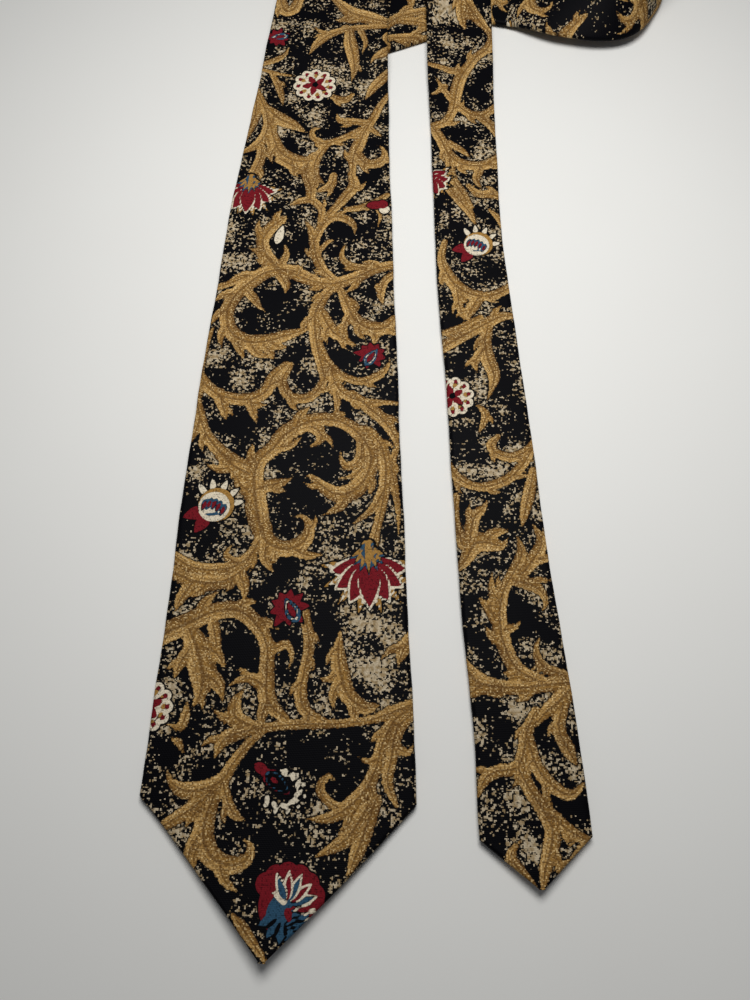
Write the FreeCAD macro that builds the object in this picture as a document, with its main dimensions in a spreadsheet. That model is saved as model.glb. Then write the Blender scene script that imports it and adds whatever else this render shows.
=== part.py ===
import FreeCAD, Part
import Sketcher
import math
import os

# A long necktie lying on a table, both blades side by side with their tips toward -Y.
# The wide front blade lies face up, turns under itself at its top, folds across to the
# right, passes under the narrow tail, stands up in a ring and comes down as the tail.
# Every layer is one ribbon: a folded fabric shell open along its centre back, with the
# interlining and the tip linings inside it. Millimetres, +Z up, table at Z = 0, and the
# origin is the centre of the footprint.

doc = FreeCAD.newDocument("Necktie")
sheet = doc.addObject("Spreadsheet::Sheet", "Sizes")

SIZES = {
    "front_width": 96.0,            # widest place of the wide blade, at its shoulders
    "front_point": 48.0,            # tip to shoulder line, wide blade
    "front_reach": 385.0,           # shoulder line to where the blade meets the strand below
    "tail_width": 38.4,             # widest place of the narrow blade
    "tail_point": 15.5,             # tip to shoulder line, narrow blade
    "tail_offset": 89.0,            # narrow tip beside the wide one
    "tail_rise": 9.0,               # narrow shoulders lie this far below the wide ones
    "strand_width": 42.0,           # the band between the blades
    "neck_width": 39.0,             # the band round the collar
    "thickness": 3.2,               # of the folded blade, pressed and relaxed
    "neck_thickness": 2.8,          # of the folded band at the neck
    "fabric": 0.45,                 # outer fabric with its turning
    "lining": 0.4,                  # tipping cloth
    "layer_gap": 0.15,              # air between the layers inside
    "twist_gap": 0.004,             # more air round the interlining, per mm of band width
    "back_gap": 0.5,                # half the open line down the centre back
    "front_seam": 321.0,            # top of the wide blade to its neck seam, along the cloth
    "neck_piece": 300.0,            # between the two neck seams
    "front_opening": 150.0,         # tip to where the wide back closes
    "tail_opening": 78.0,           # tip to where the narrow back closes
    "hem": 9.0,                     # turning along the sloping edges of the tips
    "fold_radius": 1.9,             # of the pressed diagonal fold, at mid thickness
    "turn_radius": 5.0,             # of the soft turn at the top of the wide blade
    "keeper_place": 262.0,          # tip to the middle of the keeper loop
    "keeper_span": 58.0,            # across the back
    "keeper_width": 13.0,           # along the blade
    "keeper_stock": 0.6,            # folded strip
    "keeper_clearance": 0.6,        # room between the keeper and the back
    "keeper_foot": 5.0,             # part of each end that is sewn down
    "stitch_width": 1.0,            # row of thread at each end of the keeper
    "label_length": 40.0,           # across the back
    "label_width": 18.0,            # along the blade
    "label_stock": 0.35,            # woven ribbon
    "label_place": 290.0,           # tip to the middle of the label
    "tack_length": 7.0,             # bar of thread across the back opening
    "tack_width": 1.2,
    "tack_height": 0.5,
    "thread": 0.5,                  # slip stitch
    "seam_length": 0.6,             # ring of thread at each neck seam
    "back_lift": 1.6,               # the blade lies on its keeper and label, this far up
}
for row, (alias, value) in enumerate(SIZES.items(), start=1):
    sheet.set("A%d" % row, alias)
    sheet.set("B%d" % row, str(value))
    sheet.setAlias("B%d" % row, alias)
doc.recompute()


def size(alias):
    return float(sheet.get(alias))


Vector = FreeCAD.Vector
UP = Vector(0, 0, 1)

FRONT_Y = size("front_reach")
STRAND_HEADING = 24.0
THICK = size("thickness")
FLAT = THICK / 2
NECK_FLAT = size("neck_thickness") / 2
LAYER = 2 * size("fold_radius")
LIFTED = FLAT + size("back_lift")
FOLD_CENTRE = Vector(-4.0, FRONT_Y - 20.0, 0)
UNDER_Z = NECK_FLAT + 0.1
MIDDLE_Z = UNDER_Z + LAYER
TURN_Y = FRONT_Y + 62.0
TURN_LOW_Z = NECK_FLAT + 0.4
TURN_HIGH_Z = TURN_LOW_Z + 2 * size("turn_radius")
TOP_Z = MIDDLE_Z + NECK_FLAT + FLAT + 0.6
TAIL_OVER_Z = UNDER_Z + NECK_FLAT + FLAT + 1.4
TAIL_X = size("tail_offset")
TAIL_Y = -size("tail_rise")

# A wider narrow blade needs the ring to rise further to the right of it.
RING_X = size("tail_width") / 2 - 19.2


# ---- the way the middle of the band goes ----------------------------------------------

# Wide blade, from the tip up: x, y, z of the band's middle.
FRONT_LINE = [
    (-0.6, -size("front_point"), 7.2),
    (0.0, -26.0, 3.9),
    (0.3, 0.0, FLAT + 0.4),
    (-0.6, 40.0, FLAT),
    (-1.6, 78.0, FLAT),
    (-2.6, 118.0, LIFTED),
    (-3.6, 200.0, LIFTED),
    (-3.8, 270.0, LIFTED),
    (-2.6, FRONT_Y - 65.0, LIFTED + 0.6),
    (-1.4, FRONT_Y - 30.0, TOP_Z),
    (-0.4, FRONT_Y + 15.0, TOP_Z + 0.8),
    (-1.0, TURN_Y - 20.0, TURN_HIGH_Z - 0.2),
    (-1.4, TURN_Y, TURN_HIGH_Z),
]

# The band right of the fold, round the standing ring and down the narrow blade:
# x, y, height of the lower edge or of the flat band, lean (0 flat, 90 standing, face out).
RING_LINE = [
    (24.0, FRONT_Y - 7.0, UNDER_Z, 0.0),
    (50.0, FRONT_Y + 5.0, UNDER_Z, 0.0),
    (74.0, FRONT_Y + 14.5, UNDER_Z + 0.3, 2.0),
    (RING_X + 97.0, FRONT_Y + 11.0, UNDER_Z + 1.1, 6.0),
    (RING_X + 121.0, FRONT_Y - 1.0, 5.5, 26.0),
    (RING_X + 146.0, FRONT_Y - 6.0, 5.0, 52.0),
    (RING_X + 165.0, FRONT_Y + 10.0, 2.2, 76.0),
    (RING_X + 172.0, FRONT_Y + 44.0, 1.0, 84.0),
    (RING_X + 164.0, FRONT_Y + 80.0, 1.0, 84.0),
    (RING_X + 139.0, FRONT_Y + 101.0, 1.0, 84.0),
    (106.0, FRONT_Y + 103.0, 1.0, 82.0),
    (80.0, FRONT_Y + 86.0, 1.0, 68.0),
    (67.5, FRONT_Y + 57.0, 4.2, 38.0),
    (64.6, FRONT_Y + 27.0, TAIL_OVER_Z + 0.5, 8.0),
    (64.6, FRONT_Y - 2.0, TAIL_OVER_Z, 0.0),
    (65.0, FRONT_Y - 20.0, TAIL_OVER_Z - 0.3, 0.0),
    (65.7, FRONT_Y - 52.0, FLAT + 1.6, 0.0),
    (66.8, FRONT_Y - 85.0, FLAT + 0.5, 0.0),
    (69.0, 235.0, FLAT + 0.5, 0.0),
    (75.3, 157.0, FLAT + 0.5, 0.0),
    (81.5, 75.0, FLAT + 0.5, 0.0),
    (TAIL_X - 2.0, TAIL_Y + 30.0, FLAT + 0.5, 0.0),
    (TAIL_X - 0.2, TAIL_Y, FLAT + 0.9, 0.0),
    (TAIL_X + 0.8, TAIL_Y - size("tail_point"), 4.6, 0.0),
]


class Curve:
    """Smooth curve through hand-set points (Hermite, chord-length knots)."""

    def __init__(self, points):
        self.points = [list(map(float, p)) for p in points]
        self.knots = [0.0]
        for before, after in zip(self.points, self.points[1:]):
            self.knots.append(self.knots[-1] + math.dist(before[:3], after[:3]))
        self.slopes = [self.slope(i) for i in range(len(self.points))]
        self.length = self.knots[-1]

    def chord(self, i):
        gap = self.knots[i + 1] - self.knots[i]
        return [(b - a) / gap for a, b in zip(self.points[i], self.points[i + 1])]

    def slope(self, i):
        if i == 0:
            return self.chord(0)
        if i == len(self.points) - 1:
            return self.chord(i - 1)
        back, ahead = self.chord(i - 1), self.chord(i)
        wide, near = self.knots[i + 1] - self.knots[i], self.knots[i] - self.knots[i - 1]
        out = []
        for axis, (a, b) in enumerate(zip(back, ahead)):
            mean = (wide * a + near * b) / (wide + near)
            if axis >= 2:
                # heights and leans never overshoot the points they pass
                mean = 0.0 if a * b <= 0 else 2 * a * b / (a + b)
            out.append(mean)
        return out

    def at(self, place):
        i = 0
        while i < len(self.knots) - 2 and place > self.knots[i + 1]:
            i += 1
        gap = self.knots[i + 1] - self.knots[i]
        x = (place - self.knots[i]) / gap
        weights = (
            2 * x**3 - 3 * x**2 + 1,
            (x**3 - 2 * x**2 + x) * gap,
            -2 * x**3 + 3 * x**2,
            (x**3 - x**2) * gap,
        )
        rows = (self.points[i], self.slopes[i], self.points[i + 1], self.slopes[i + 1])
        return [sum(w * r[k] for w, r in zip(weights, rows)) for k in range(len(rows[0]))]


class Station:
    """One straight line across the band: its middle, direction across and face normal."""

    def __init__(self, middle, across, normal, stretch=1.0):
        self.middle = middle
        self.across = across
        self.normal = normal
        self.stretch = stretch      # length of the line over the width of the band
        self.place = 0.0            # distance from the wide tip, along the cloth


def upright_station(middle, ahead, lean):
    """A line square to the band; lean turns the face toward the outside of the turn."""
    ahead = Vector(ahead).normalize()
    right = ahead.cross(UP).normalize()
    level = right.cross(ahead)
    turn = math.radians(lean)
    normal = level * math.cos(turn) + right * math.sin(turn)
    across = ahead.cross(normal)
    return Station(middle, across, normal)


BLADE_STEP = 13.0                   # between lines on the wide blade
RING_STEP = 6.5                     # between lines where the band twists
TAIL_STEP = 22.0                    # between lines on the straight part of the narrow blade
AIM = 0.5                           # on each side of a place, to see which way the band runs


def front_stations():
    curve = Curve(FRONT_LINE)
    stations = []
    count = int(curve.length / BLADE_STEP)
    for i in range(count + 1):
        place = curve.length * i / count
        here = Vector(*curve.at(place)[:3])
        near = Vector(*curve.at(min(place + AIM, curve.length))[:3])
        past = Vector(*curve.at(max(place - AIM, 0.0))[:3])
        stations.append(upright_station(here, near - past, 0.0))
    return stations


def turn_stations():
    """The soft turn under itself at the top of the wide blade, a half circle."""
    radius = size("turn_radius")
    centre = Vector(FRONT_LINE[-1][0], TURN_Y, TURN_HIGH_Z - radius)
    stations = []
    steps = 8
    for i in range(1, steps + 1):
        angle = math.pi * i / steps
        normal = Vector(0, math.sin(angle), math.cos(angle))
        stations.append(Station(centre + normal * radius, Vector(1, 0, 0), normal))
    return stations


def fold_stations():
    """Back under the blade, face down, then over the pressed diagonal fold to face up."""
    lean = math.radians((STRAND_HEADING - 90.0) / 2)
    line = Vector(math.cos(lean), math.sin(lean), 0)
    side = Vector(math.sin(lean), -math.cos(lean), 0)
    stretch = 1.0 / abs(line.x)
    stations = []
    level = [
        (TURN_Y - 22.0, TURN_LOW_Z + 0.3, 0.0),
        (TURN_Y - 36.0, (TURN_LOW_Z + MIDDLE_Z) / 2, 0.3),
        (FOLD_CENTRE.y + 14.0, MIDDLE_Z, 0.8),
    ]
    for y, z, share in level:
        angle = lean * share
        across = Vector(math.cos(angle), math.sin(angle), 0)
        along = (TURN_Y - y) / (TURN_Y - FOLD_CENTRE.y)
        x = FRONT_LINE[-1][0] * (1 - along) + FOLD_CENTRE.x * along
        stations.append(Station(Vector(x, y, z), across, -UP, 1.0 / across.x))
    radius = size("fold_radius")
    centre = FOLD_CENTRE + UP * (MIDDLE_Z - radius)
    steps = 6
    for i in range(steps + 1):
        angle = math.pi * i / steps
        out = side * math.sin(angle) + UP * math.cos(angle)
        stations.append(Station(centre + out * radius, line, -out, stretch))
    # The band leaves the fold with its line swinging back to square.
    ahead = math.radians(STRAND_HEADING)
    square = Vector(math.sin(ahead), -math.cos(ahead), 0)
    first = Vector(RING_LINE[0][0], RING_LINE[0][1], UNDER_Z)
    base = FOLD_CENTRE + UP * UNDER_Z
    share = 0.45
    angle = lean * (1 - share) + (ahead - math.pi / 2) * share
    across = Vector(math.cos(angle), math.sin(angle), 0)
    middle = base * (1 - share) + first * share
    stations.append(Station(middle, across, UP, 1.0 / across.dot(square)))
    return stations


def ring_stations():
    """Close lines round the ring and near the tip, wider apart on the straight blade."""
    curve = Curve(RING_LINE)
    stations = []
    place = 0.0
    blade_starts = curve.knots[-8]
    tip_starts = curve.length - 40.0
    shortest = 3.0
    while place < curve.length:
        stations.append(ring_station(curve, place))
        step = RING_STEP
        if blade_starts < place < tip_starts:
            step = min(TAIL_STEP, tip_starts - place + 1.0)
        place += step
        if curve.length - place < shortest:
            place = curve.length
    stations.append(ring_station(curve, curve.length))
    return stations


def ring_station(curve, place):
    x, y, low, lean = curve.at(place)
    near = curve.at(min(place + AIM, curve.length))
    past = curve.at(max(place - AIM, 0.0))
    rise = size("neck_width") / 2 * math.sin(math.radians(lean))
    rises = [size("neck_width") / 2 * math.sin(math.radians(p[3])) for p in (near, past)]
    ahead = Vector(near[0] - past[0], near[1] - past[1], near[2] + rises[0] - past[2] - rises[1])
    return upright_station(Vector(x, y, low + rise), ahead, lean)


def measure(stations):
    """Give each line its distance from the wide tip, along the middle of the cloth."""
    for before, after in zip(stations, stations[1:]):
        after.place = before.place + (after.middle - before.middle).Length
    return stations


def blend(table, place):
    for (a, low), (b, high) in zip(table, table[1:]):
        if place <= b:
            return low + (high - low) * max(0.0, place - a) / (b - a)
    return table[-1][1]


STATIONS = measure(
    front_stations() + turn_stations() + fold_stations() + ring_stations()
)
TOTAL = STATIONS[-1].place
FRONT_SEAM = FRONT_Y + size("front_seam")
TAIL_SEAM = FRONT_SEAM + size("neck_piece")
FOLD_PLACE = size("front_point") + TURN_Y + math.pi * size("turn_radius") + 82.0

TIP_WIDTH = 2.6                     # the points are cut this blunt

# How far past the shoulders a blade has narrowed to which share of its full width.
FRONT_TAPER = [(155.0, 0.872), (262.0, 0.764), (FRONT_Y, 0.586)]
TAIL_TAPER = [(385.0, 0.875), (270.0, 0.79), (160.0, 0.865)]

# Width of the folded band along the cloth.
WIDTHS = [
    (0.0, TIP_WIDTH),
    (size("front_point"), size("front_width")),
    *((size("front_point") + past, size("front_width") * share) for past, share in FRONT_TAPER),
    (FOLD_PLACE - 30.0, size("strand_width") + 2.0),
    (FOLD_PLACE + 60.0, size("strand_width")),
    (TAIL_SEAM - 100.0, size("neck_width")),
    *((TOTAL - size("tail_point") - past, size("tail_width") * share)
      for past, share in TAIL_TAPER),
    (TOTAL - size("tail_point"), size("tail_width")),
    (TOTAL, TIP_WIDTH),
]

THICKNESSES = [
    (0.0, size("neck_thickness")),
    (size("front_point"), THICK),
    (size("front_point") + FRONT_Y, THICK),
    (FOLD_PLACE - 40.0, size("neck_thickness")),
    (TAIL_SEAM, size("neck_thickness")),
    (TOTAL - 380.0, THICK),
    (TOTAL - size("tail_point"), THICK),
    (TOTAL, size("neck_thickness")),
]


def width_at(place):
    return blend(WIDTHS, place)


def thickness_at(place):
    return blend(THICKNESSES, place)


def gap_at(place):
    """Half the open width of the centre back: closed, then an upturned V at each tip."""
    closed = size("back_gap")
    half = width_at(place) / 2
    limit = half - size("fabric") - 0.4
    for from_tip, opening, point in (
        (place, size("front_opening"), size("front_point")),
        (TOTAL - place, size("tail_opening"), size("tail_point")),
    ):
        if from_tip >= opening:
            continue
        if from_tip <= point:
            slope = half / max(from_tip, 1.0)
            hem = size("hem") * math.sqrt(1 + slope * slope)
            open_half = half - min(hem, half * 0.55)
        else:
            at_point = width_at(point if place < TOTAL / 2 else TOTAL - point) / 2
            open_half = (at_point - size("hem")) * (opening - from_tip) / (opening - point)
        return min(limit, max(closed, open_half))
    return closed


# ---- solids along the band -----------------------------------------------------------

FLATNESS = 1e-6                     # mm off the plane that still counts as a flat face


def line_at(place):
    """The line across the band at a distance from the wide tip, between two stations."""
    for before, after in zip(STATIONS, STATIONS[1:]):
        if place <= after.place:
            share = (place - before.place) / (after.place - before.place)
            mixed = Station(
                before.middle * (1 - share) + after.middle * share,
                (before.across * (1 - share) + after.across * share).normalize(),
                (before.normal * (1 - share) + after.normal * share).normalize(),
                before.stretch * (1 - share) + after.stretch * share,
            )
            mixed.place = place
            return mixed
    return STATIONS[-1]


def lines_between(start, end):
    corners = {size("front_point"), size("front_opening")}
    corners |= {TOTAL - size("tail_point"), TOTAL - size("tail_opening")}
    inside = [s for s in STATIONS if start + 1.0 < s.place < end - 1.0]
    places = [s.place for s in inside]
    for corner in sorted(corners):
        if start + 1.0 < corner < end - 1.0:
            near = [s for s in inside if abs(s.place - corner) < 2.0]
            for station in near:
                inside.remove(station)
            inside.append(line_at(corner))
    inside.sort(key=lambda s: s.place)
    return [line_at(start)] + inside + [line_at(end)]


def polygon_face(*corners):
    return Part.Face(Part.makePolygon(list(corners) + [corners[0]]))


def span_faces(a, b, c, d):
    """One flat face between two lines, or four triangles where the band twists."""
    normal = (b - a).cross(c - a)
    if abs((d - a).dot(normal)) < FLATNESS * normal.Length:
        return [polygon_face(a, b, c, d)]
    centre = (a + b + c + d) * 0.25
    corners = [a, b, c, d]
    return [polygon_face(p, q, centre) for p, q in zip(corners, corners[1:] + corners[:1])]


def loft(lines, outline):
    """A solid through the same outline drawn on each line, flat between the lines."""
    rings = []
    for line in lines:
        rings.append([
            line.middle + line.across * (u * line.stretch) + line.normal * v
            for u, v in outline(line.place)
        ])
    faces = [polygon_face(*rings[0]), polygon_face(*rings[-1])]
    for before, after in zip(rings, rings[1:]):
        count = len(before)
        for i in range(count):
            j = (i + 1) % count
            faces += span_faces(before[i], before[j], after[j], after[i])
    shell = Part.makeShell(faces)
    shell.sewShape()
    solid = Part.makeSolid(shell)
    if solid.Volume < 0:
        solid.reverse()
    return solid


def shell_outline(place):
    """Folded fabric: a flat tube, open along the centre of its back."""
    half = width_at(place) / 2
    top = thickness_at(place) / 2
    wall = size("fabric")
    gap = gap_at(place)
    inner = half - wall
    return [
        (-gap, -top),
        (-half, -top),
        (-half, top),
        (0.0, top),
        (half, top),
        (half, -top),
        (gap, -top),
        (gap, -top + wall),
        (inner, -top + wall),
        (inner, top - wall),
        (0.0, top - wall),
        (-inner, top - wall),
        (-inner, -top + wall),
        (-gap, -top + wall),
    ]


def sheet_outline(place, low, high, inset):
    half = width_at(place) / 2 - inset
    return [(-half, low), (0.0, low), (half, low), (half, high), (0.0, high), (-half, high)]


TIPPING_INSET = 0.5                 # short of the fabric's folded edge
INTERLINING_INSET = 1.0


def tipping_outline(place):
    low = -thickness_at(place) / 2 + size("fabric") + size("layer_gap")
    return sheet_outline(place, low, low + size("lining"), size("fabric") + TIPPING_INSET)


def interlining_outline(place):
    half_thick = thickness_at(place) / 2
    air = size("layer_gap") + size("twist_gap") * width_at(place)
    # the widest band lies flat and needs no more air than the strand does
    air = min(air, size("layer_gap") + size("twist_gap") * size("strand_width"))
    low = -half_thick + size("fabric") + size("layer_gap") + size("lining") + air
    high = half_thick - size("fabric") - air
    return sheet_outline(place, low, high, size("fabric") + INTERLINING_INSET)


STITCH_SINK = 0.02                  # keeps the thread just inside the back


def stitch_outline(place):
    """The slip stitch lies in the open line of the back, clear of both edges."""
    half = size("thread") / 2
    low = -thickness_at(place) / 2 + STITCH_SINK
    high = low + size("thread")
    return [(-half, low), (half, low), (half, high), (-half, high)]


PIECES = {}
TIPPING_END = 4.0                   # short of the very tip
INTERLINING_END = 6.0
LINING_OVERLAP = 11.0               # tipping past the place where the back closes
HALF_JOIN = 0.2                     # between the two lengths of interlining


def add_feature(label, shape):
    feature = doc.addObject("Part::Feature", label)
    feature.Label = label
    feature.Shape = shape
    PIECES[label] = feature
    return feature


def add_band_pieces():
    half_seam = size("seam_length") / 2
    add_feature(
        "front_blade_shell",
        loft(lines_between(0.0, FRONT_SEAM - half_seam), shell_outline),
    )
    add_feature(
        "neck_piece_shell",
        loft(lines_between(FRONT_SEAM + half_seam, TAIL_SEAM - half_seam), shell_outline),
    )
    add_feature(
        "tail_blade_shell",
        loft(lines_between(TAIL_SEAM + half_seam, TOTAL), shell_outline),
    )
    for label, place in (("front_neck_seam", FRONT_SEAM), ("tail_neck_seam", TAIL_SEAM)):
        ends = [line_at(place - half_seam), line_at(place + half_seam)]
        add_feature(label, loft(ends, shell_outline))
    middle = (FRONT_SEAM + TAIL_SEAM) / 2
    add_feature(
        "front_interlining",
        loft(lines_between(INTERLINING_END, middle - HALF_JOIN), interlining_outline),
    )
    add_feature(
        "tail_interlining",
        loft(lines_between(middle + HALF_JOIN, TOTAL - TIPPING_END), interlining_outline),
    )
    add_feature(
        "front_tipping",
        loft(
            lines_between(INTERLINING_END, size("front_opening") + LINING_OVERLAP),
            tipping_outline,
        ),
    )
    add_feature(
        "tail_tipping",
        loft(
            lines_between(TOTAL - size("tail_opening") - LINING_OVERLAP, TOTAL - TIPPING_END),
            tipping_outline,
        ),
    )
    tack_room = size("tack_width")
    start = size("front_opening") + tack_room
    end = TOTAL - size("tail_opening") - tack_room
    add_feature("slip_stitch", loft(lines_between(start, end), stitch_outline))


# ---- pieces sewn to the back ---------------------------------------------------------

def back_placement(place):
    """Where the back of the band is, with local X across, Y along and Z into the band."""
    line = line_at(place)
    low = line.middle - line.normal * (thickness_at(place) / 2)
    along = line.normal.cross(line.across)
    matrix = FreeCAD.Matrix(
        line.across.x, along.x, line.normal.x, low.x,
        line.across.y, along.y, line.normal.y, low.y,
        line.across.z, along.z, line.normal.z, low.z,
        0, 0, 0, 1,
    )
    return FreeCAD.Placement(matrix)


def origin_plane(body, role):
    return [f for f in body.Origin.OriginFeatures if f.Role == role][0]


def add_keeper():
    """A strip that bridges the back and touches it only at its two sewn ends."""
    body = doc.addObject("PartDesign::Body", "keeper_loop")
    body.Label = "keeper_loop"
    sketch = body.newObject("Sketcher::SketchObject", "KeeperProfile")
    sketch.AttachmentSupport = [(origin_plane(body, "XZ_Plane"), "")]
    sketch.MapMode = "FlatFace"
    span, stock = size("keeper_span") / 2, size("keeper_stock")
    drop = size("keeper_clearance")
    foot = span - size("keeper_foot")
    corners = [
        (-span, 0), (-foot, 0), (-foot, -drop), (foot, -drop), (foot, 0), (span, 0),
        (span, -drop - stock), (-span, -drop - stock),
    ]
    for a, b in zip(corners, corners[1:] + corners[:1]):
        sketch.addGeometry(Part.LineSegment(Vector(*a, 0), Vector(*b, 0)), False)
    count = len(corners)
    for i in range(count):
        following = (i + 1) % count
        sketch.addConstraint(Sketcher.Constraint("Coincident", i, 2, following, 1))
        level = corners[i][1] == corners[following][1]
        sketch.addConstraint(Sketcher.Constraint("Horizontal" if level else "Vertical", i))
    sized = (
        ("Span", ("DistanceX", 0, 1, 4, 2, 2 * span), "Sizes.keeper_span"),
        ("Drop", ("DistanceY", 2, 1, 1, 1, drop), "Sizes.keeper_clearance"),
        ("Depth", ("DistanceY", 5, 2, 5, 1, drop + stock),
         "Sizes.keeper_clearance + Sizes.keeper_stock"),
        ("Foot", ("DistanceX", 0, 1, 0, 2, span - foot), "Sizes.keeper_foot"),
        ("FarFoot", ("DistanceX", 4, 1, 4, 2, span - foot), "Sizes.keeper_foot"),
        ("Side", ("DistanceX", 0, 1, -1, 1, span), "Sizes.keeper_span / 2"),
        ("Top", ("PointOnObject", 0, 1, -1), None),
        ("FarTop", ("PointOnObject", 4, 1, -1), None),
    )
    for name, limits, formula in sized:
        index = sketch.addConstraint(Sketcher.Constraint(*limits))
        if formula:
            sketch.renameConstraint(index, name)
            sketch.setExpression("Constraints." + name, formula)
    pad = body.newObject("PartDesign::Pad", "KeeperPad")
    pad.Profile = sketch
    pad.setExpression("Length", "Sizes.keeper_width")
    pad.SideType = "Symmetric"
    body.Placement = back_placement(size("keeper_place"))
    PIECES["keeper_loop"] = body


def add_box(name, length, width, height):
    box = doc.addObject("Part::Box", name)
    for side, formula in (("Length", length), ("Width", width), ("Height", height)):
        box.setExpression(side, formula)
    return box


def centre_box(box, across, along, rise):
    """Move a box by formula so that it is centred across and along, at a height."""
    box.setExpression("Placement.Base.x", across)
    box.setExpression("Placement.Base.y", along)
    box.setExpression("Placement.Base.z", rise)


def add_fused(label, boxes, place):
    """Separate bars as one piece, laid on the back of the band."""
    group = doc.addObject("Part::MultiFuse", label)
    group.Label = label
    group.Shapes = boxes
    group.Placement = back_placement(place)
    PIECES[label] = group


def add_keeper_stitches():
    bars = []
    for name, side in (("LeftStitch", "-1"), ("RightStitch", "1")):
        bar = add_box(
            name, "Sizes.stitch_width", "Sizes.keeper_width * 0.8", "Sizes.thread / 2"
        )
        centre_box(
            bar,
            side + " * (Sizes.keeper_span - Sizes.keeper_foot) / 2 - Sizes.stitch_width / 2",
            "-Sizes.keeper_width * 0.4",
            "-Sizes.keeper_clearance - Sizes.keeper_stock - Sizes.thread / 2",
        )
        bars.append(bar)
    add_fused("keeper_stitches", bars, size("keeper_place"))


def add_label():
    label = add_box("care_label", "Sizes.label_length", "Sizes.label_width", "Sizes.label_stock")
    label.Label = "care_label"
    doc.recompute()
    offset = FreeCAD.Placement(
        Vector(-size("label_length") / 2, -size("label_width") / 2, -size("label_stock")),
        FreeCAD.Rotation(),
    )
    label.Placement = back_placement(size("label_place")).multiply(offset)
    PIECES["care_label"] = label


def add_tack(label, place):
    """A bar of thread with round ends across the place where the back closes."""
    middle = add_box(label + "_bar", "Sizes.tack_length - Sizes.tack_width",
                     "Sizes.tack_width", "Sizes.tack_height")
    centre_box(middle, "-(Sizes.tack_length - Sizes.tack_width) / 2",
               "-Sizes.tack_width / 2", "-Sizes.tack_height")
    parts = [middle]
    for name, side in (("_left", "-1"), ("_right", "1")):
        end = doc.addObject("Part::Cylinder", label + name)
        end.setExpression("Radius", "Sizes.tack_width / 2")
        end.setExpression("Height", "Sizes.tack_height")
        centre_box(end, side + " * (Sizes.tack_length - Sizes.tack_width) / 2", "0",
                   "-Sizes.tack_height")
        parts.append(end)
    add_fused(label, parts, place)


def put_origin_under_middle():
    """Move every piece so that the origin is the centre of the footprint, on the table."""
    box = FreeCAD.BoundBox()
    for piece in PIECES.values():
        box.add(piece.Shape.optimalBoundingBox(False, False))
    shift = FreeCAD.Placement(
        Vector(-(box.XMin + box.XMax) / 2, -(box.YMin + box.YMax) / 2, -box.ZMin),
        FreeCAD.Rotation(),
    )
    for piece in PIECES.values():
        piece.Placement = shift.multiply(piece.Placement)
    print("origin shift", [round(c, 3) for c in shift.Base])


def check_everything():
    doc.recompute()
    for item in doc.Objects:
        if "Invalid" in item.State or "Error" in item.State:
            raise RuntimeError("%s failed" % item.Label)
    for label, piece in PIECES.items():
        shape = piece.Shape
        if shape.isNull() or not shape.isValid() or shape.Volume <= 0:
            raise RuntimeError("%s has no good shape" % label)


add_band_pieces()
add_keeper()
add_keeper_stitches()
add_label()
add_tack("front_bar_tack", size("front_opening"))
add_tack("tail_bar_tack", TOTAL - size("tail_opening"))
doc.recompute()
put_origin_under_middle()
check_everything()
os.makedirs("parts", exist_ok=True)
for label, piece in PIECES.items():
    piece.Shape.exportStep("parts/%s.step" % label)
print("cloth length", round(TOTAL, 1), "seams", FRONT_SEAM, TAIL_SEAM)
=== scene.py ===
import math

import bpy
import numpy as np
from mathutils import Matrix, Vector


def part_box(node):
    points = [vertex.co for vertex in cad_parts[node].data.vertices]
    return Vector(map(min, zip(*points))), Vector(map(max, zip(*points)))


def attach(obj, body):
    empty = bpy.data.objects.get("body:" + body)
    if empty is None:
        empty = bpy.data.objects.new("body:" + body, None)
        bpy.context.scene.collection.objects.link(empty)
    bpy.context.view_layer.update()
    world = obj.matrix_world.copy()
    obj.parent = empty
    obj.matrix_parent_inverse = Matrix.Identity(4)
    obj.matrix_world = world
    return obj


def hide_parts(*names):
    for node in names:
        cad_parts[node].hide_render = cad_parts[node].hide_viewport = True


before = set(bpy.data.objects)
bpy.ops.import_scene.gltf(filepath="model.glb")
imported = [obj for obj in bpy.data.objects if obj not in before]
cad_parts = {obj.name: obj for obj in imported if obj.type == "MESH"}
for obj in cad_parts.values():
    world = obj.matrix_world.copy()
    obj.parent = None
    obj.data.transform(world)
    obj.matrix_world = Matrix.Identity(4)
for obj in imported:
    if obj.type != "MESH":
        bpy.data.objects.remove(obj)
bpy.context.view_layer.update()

MM = 0.001

# =====================================================================================
# Sizes of the tie, in millimetres, in a flat frame of its own: the origin is the middle
# of the wide blade's shoulders, on the table, and +Y goes up the blade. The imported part
# has its origin under its middle, so everything is moved there when a mesh is made.
# =====================================================================================

FRONT_WIDTH = 96.0
FRONT_POINT = 48.0
FRONT_Y = 385.0
TAIL_WIDTH = 38.4
TAIL_POINT = 15.5
TAIL_X = 89.0
TAIL_Y = -9.0
STRAND_WIDTH = 42.0
NECK_WIDTH = 39.0
THICK = 3.2
NECK_THICK = 2.8
FOLD_RADIUS = 1.9
TURN_RADIUS = 5.0
FRONT_OPENING = 150.0
TAIL_OPENING = 78.0
HEM = 9.0
KEEPER_PLACE = 262.0
KEEPER_SPAN = 58.0
KEEPER_WIDTH = 13.0
LABEL_PLACE = 290.0
LABEL_SIZE = (40.0, 18.0)
BACK_LIFT = 1.6
TAIL_CROSS_X = 64.6
FRONT_SEAM = 706.0
NECK_PIECE = 300.0
TAIL_SEAM = FRONT_SEAM + NECK_PIECE
TURN_IN = 5.0
TURNINGS = 12.0
LAP = 1.2
EDGE_WIDTH = 1.4
EDGE_THICK = 1.2
SEAM_INSET = 0.34
SEAM_ROWS = np.array([-0.9, -0.3, 0.3, 0.9])

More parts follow.
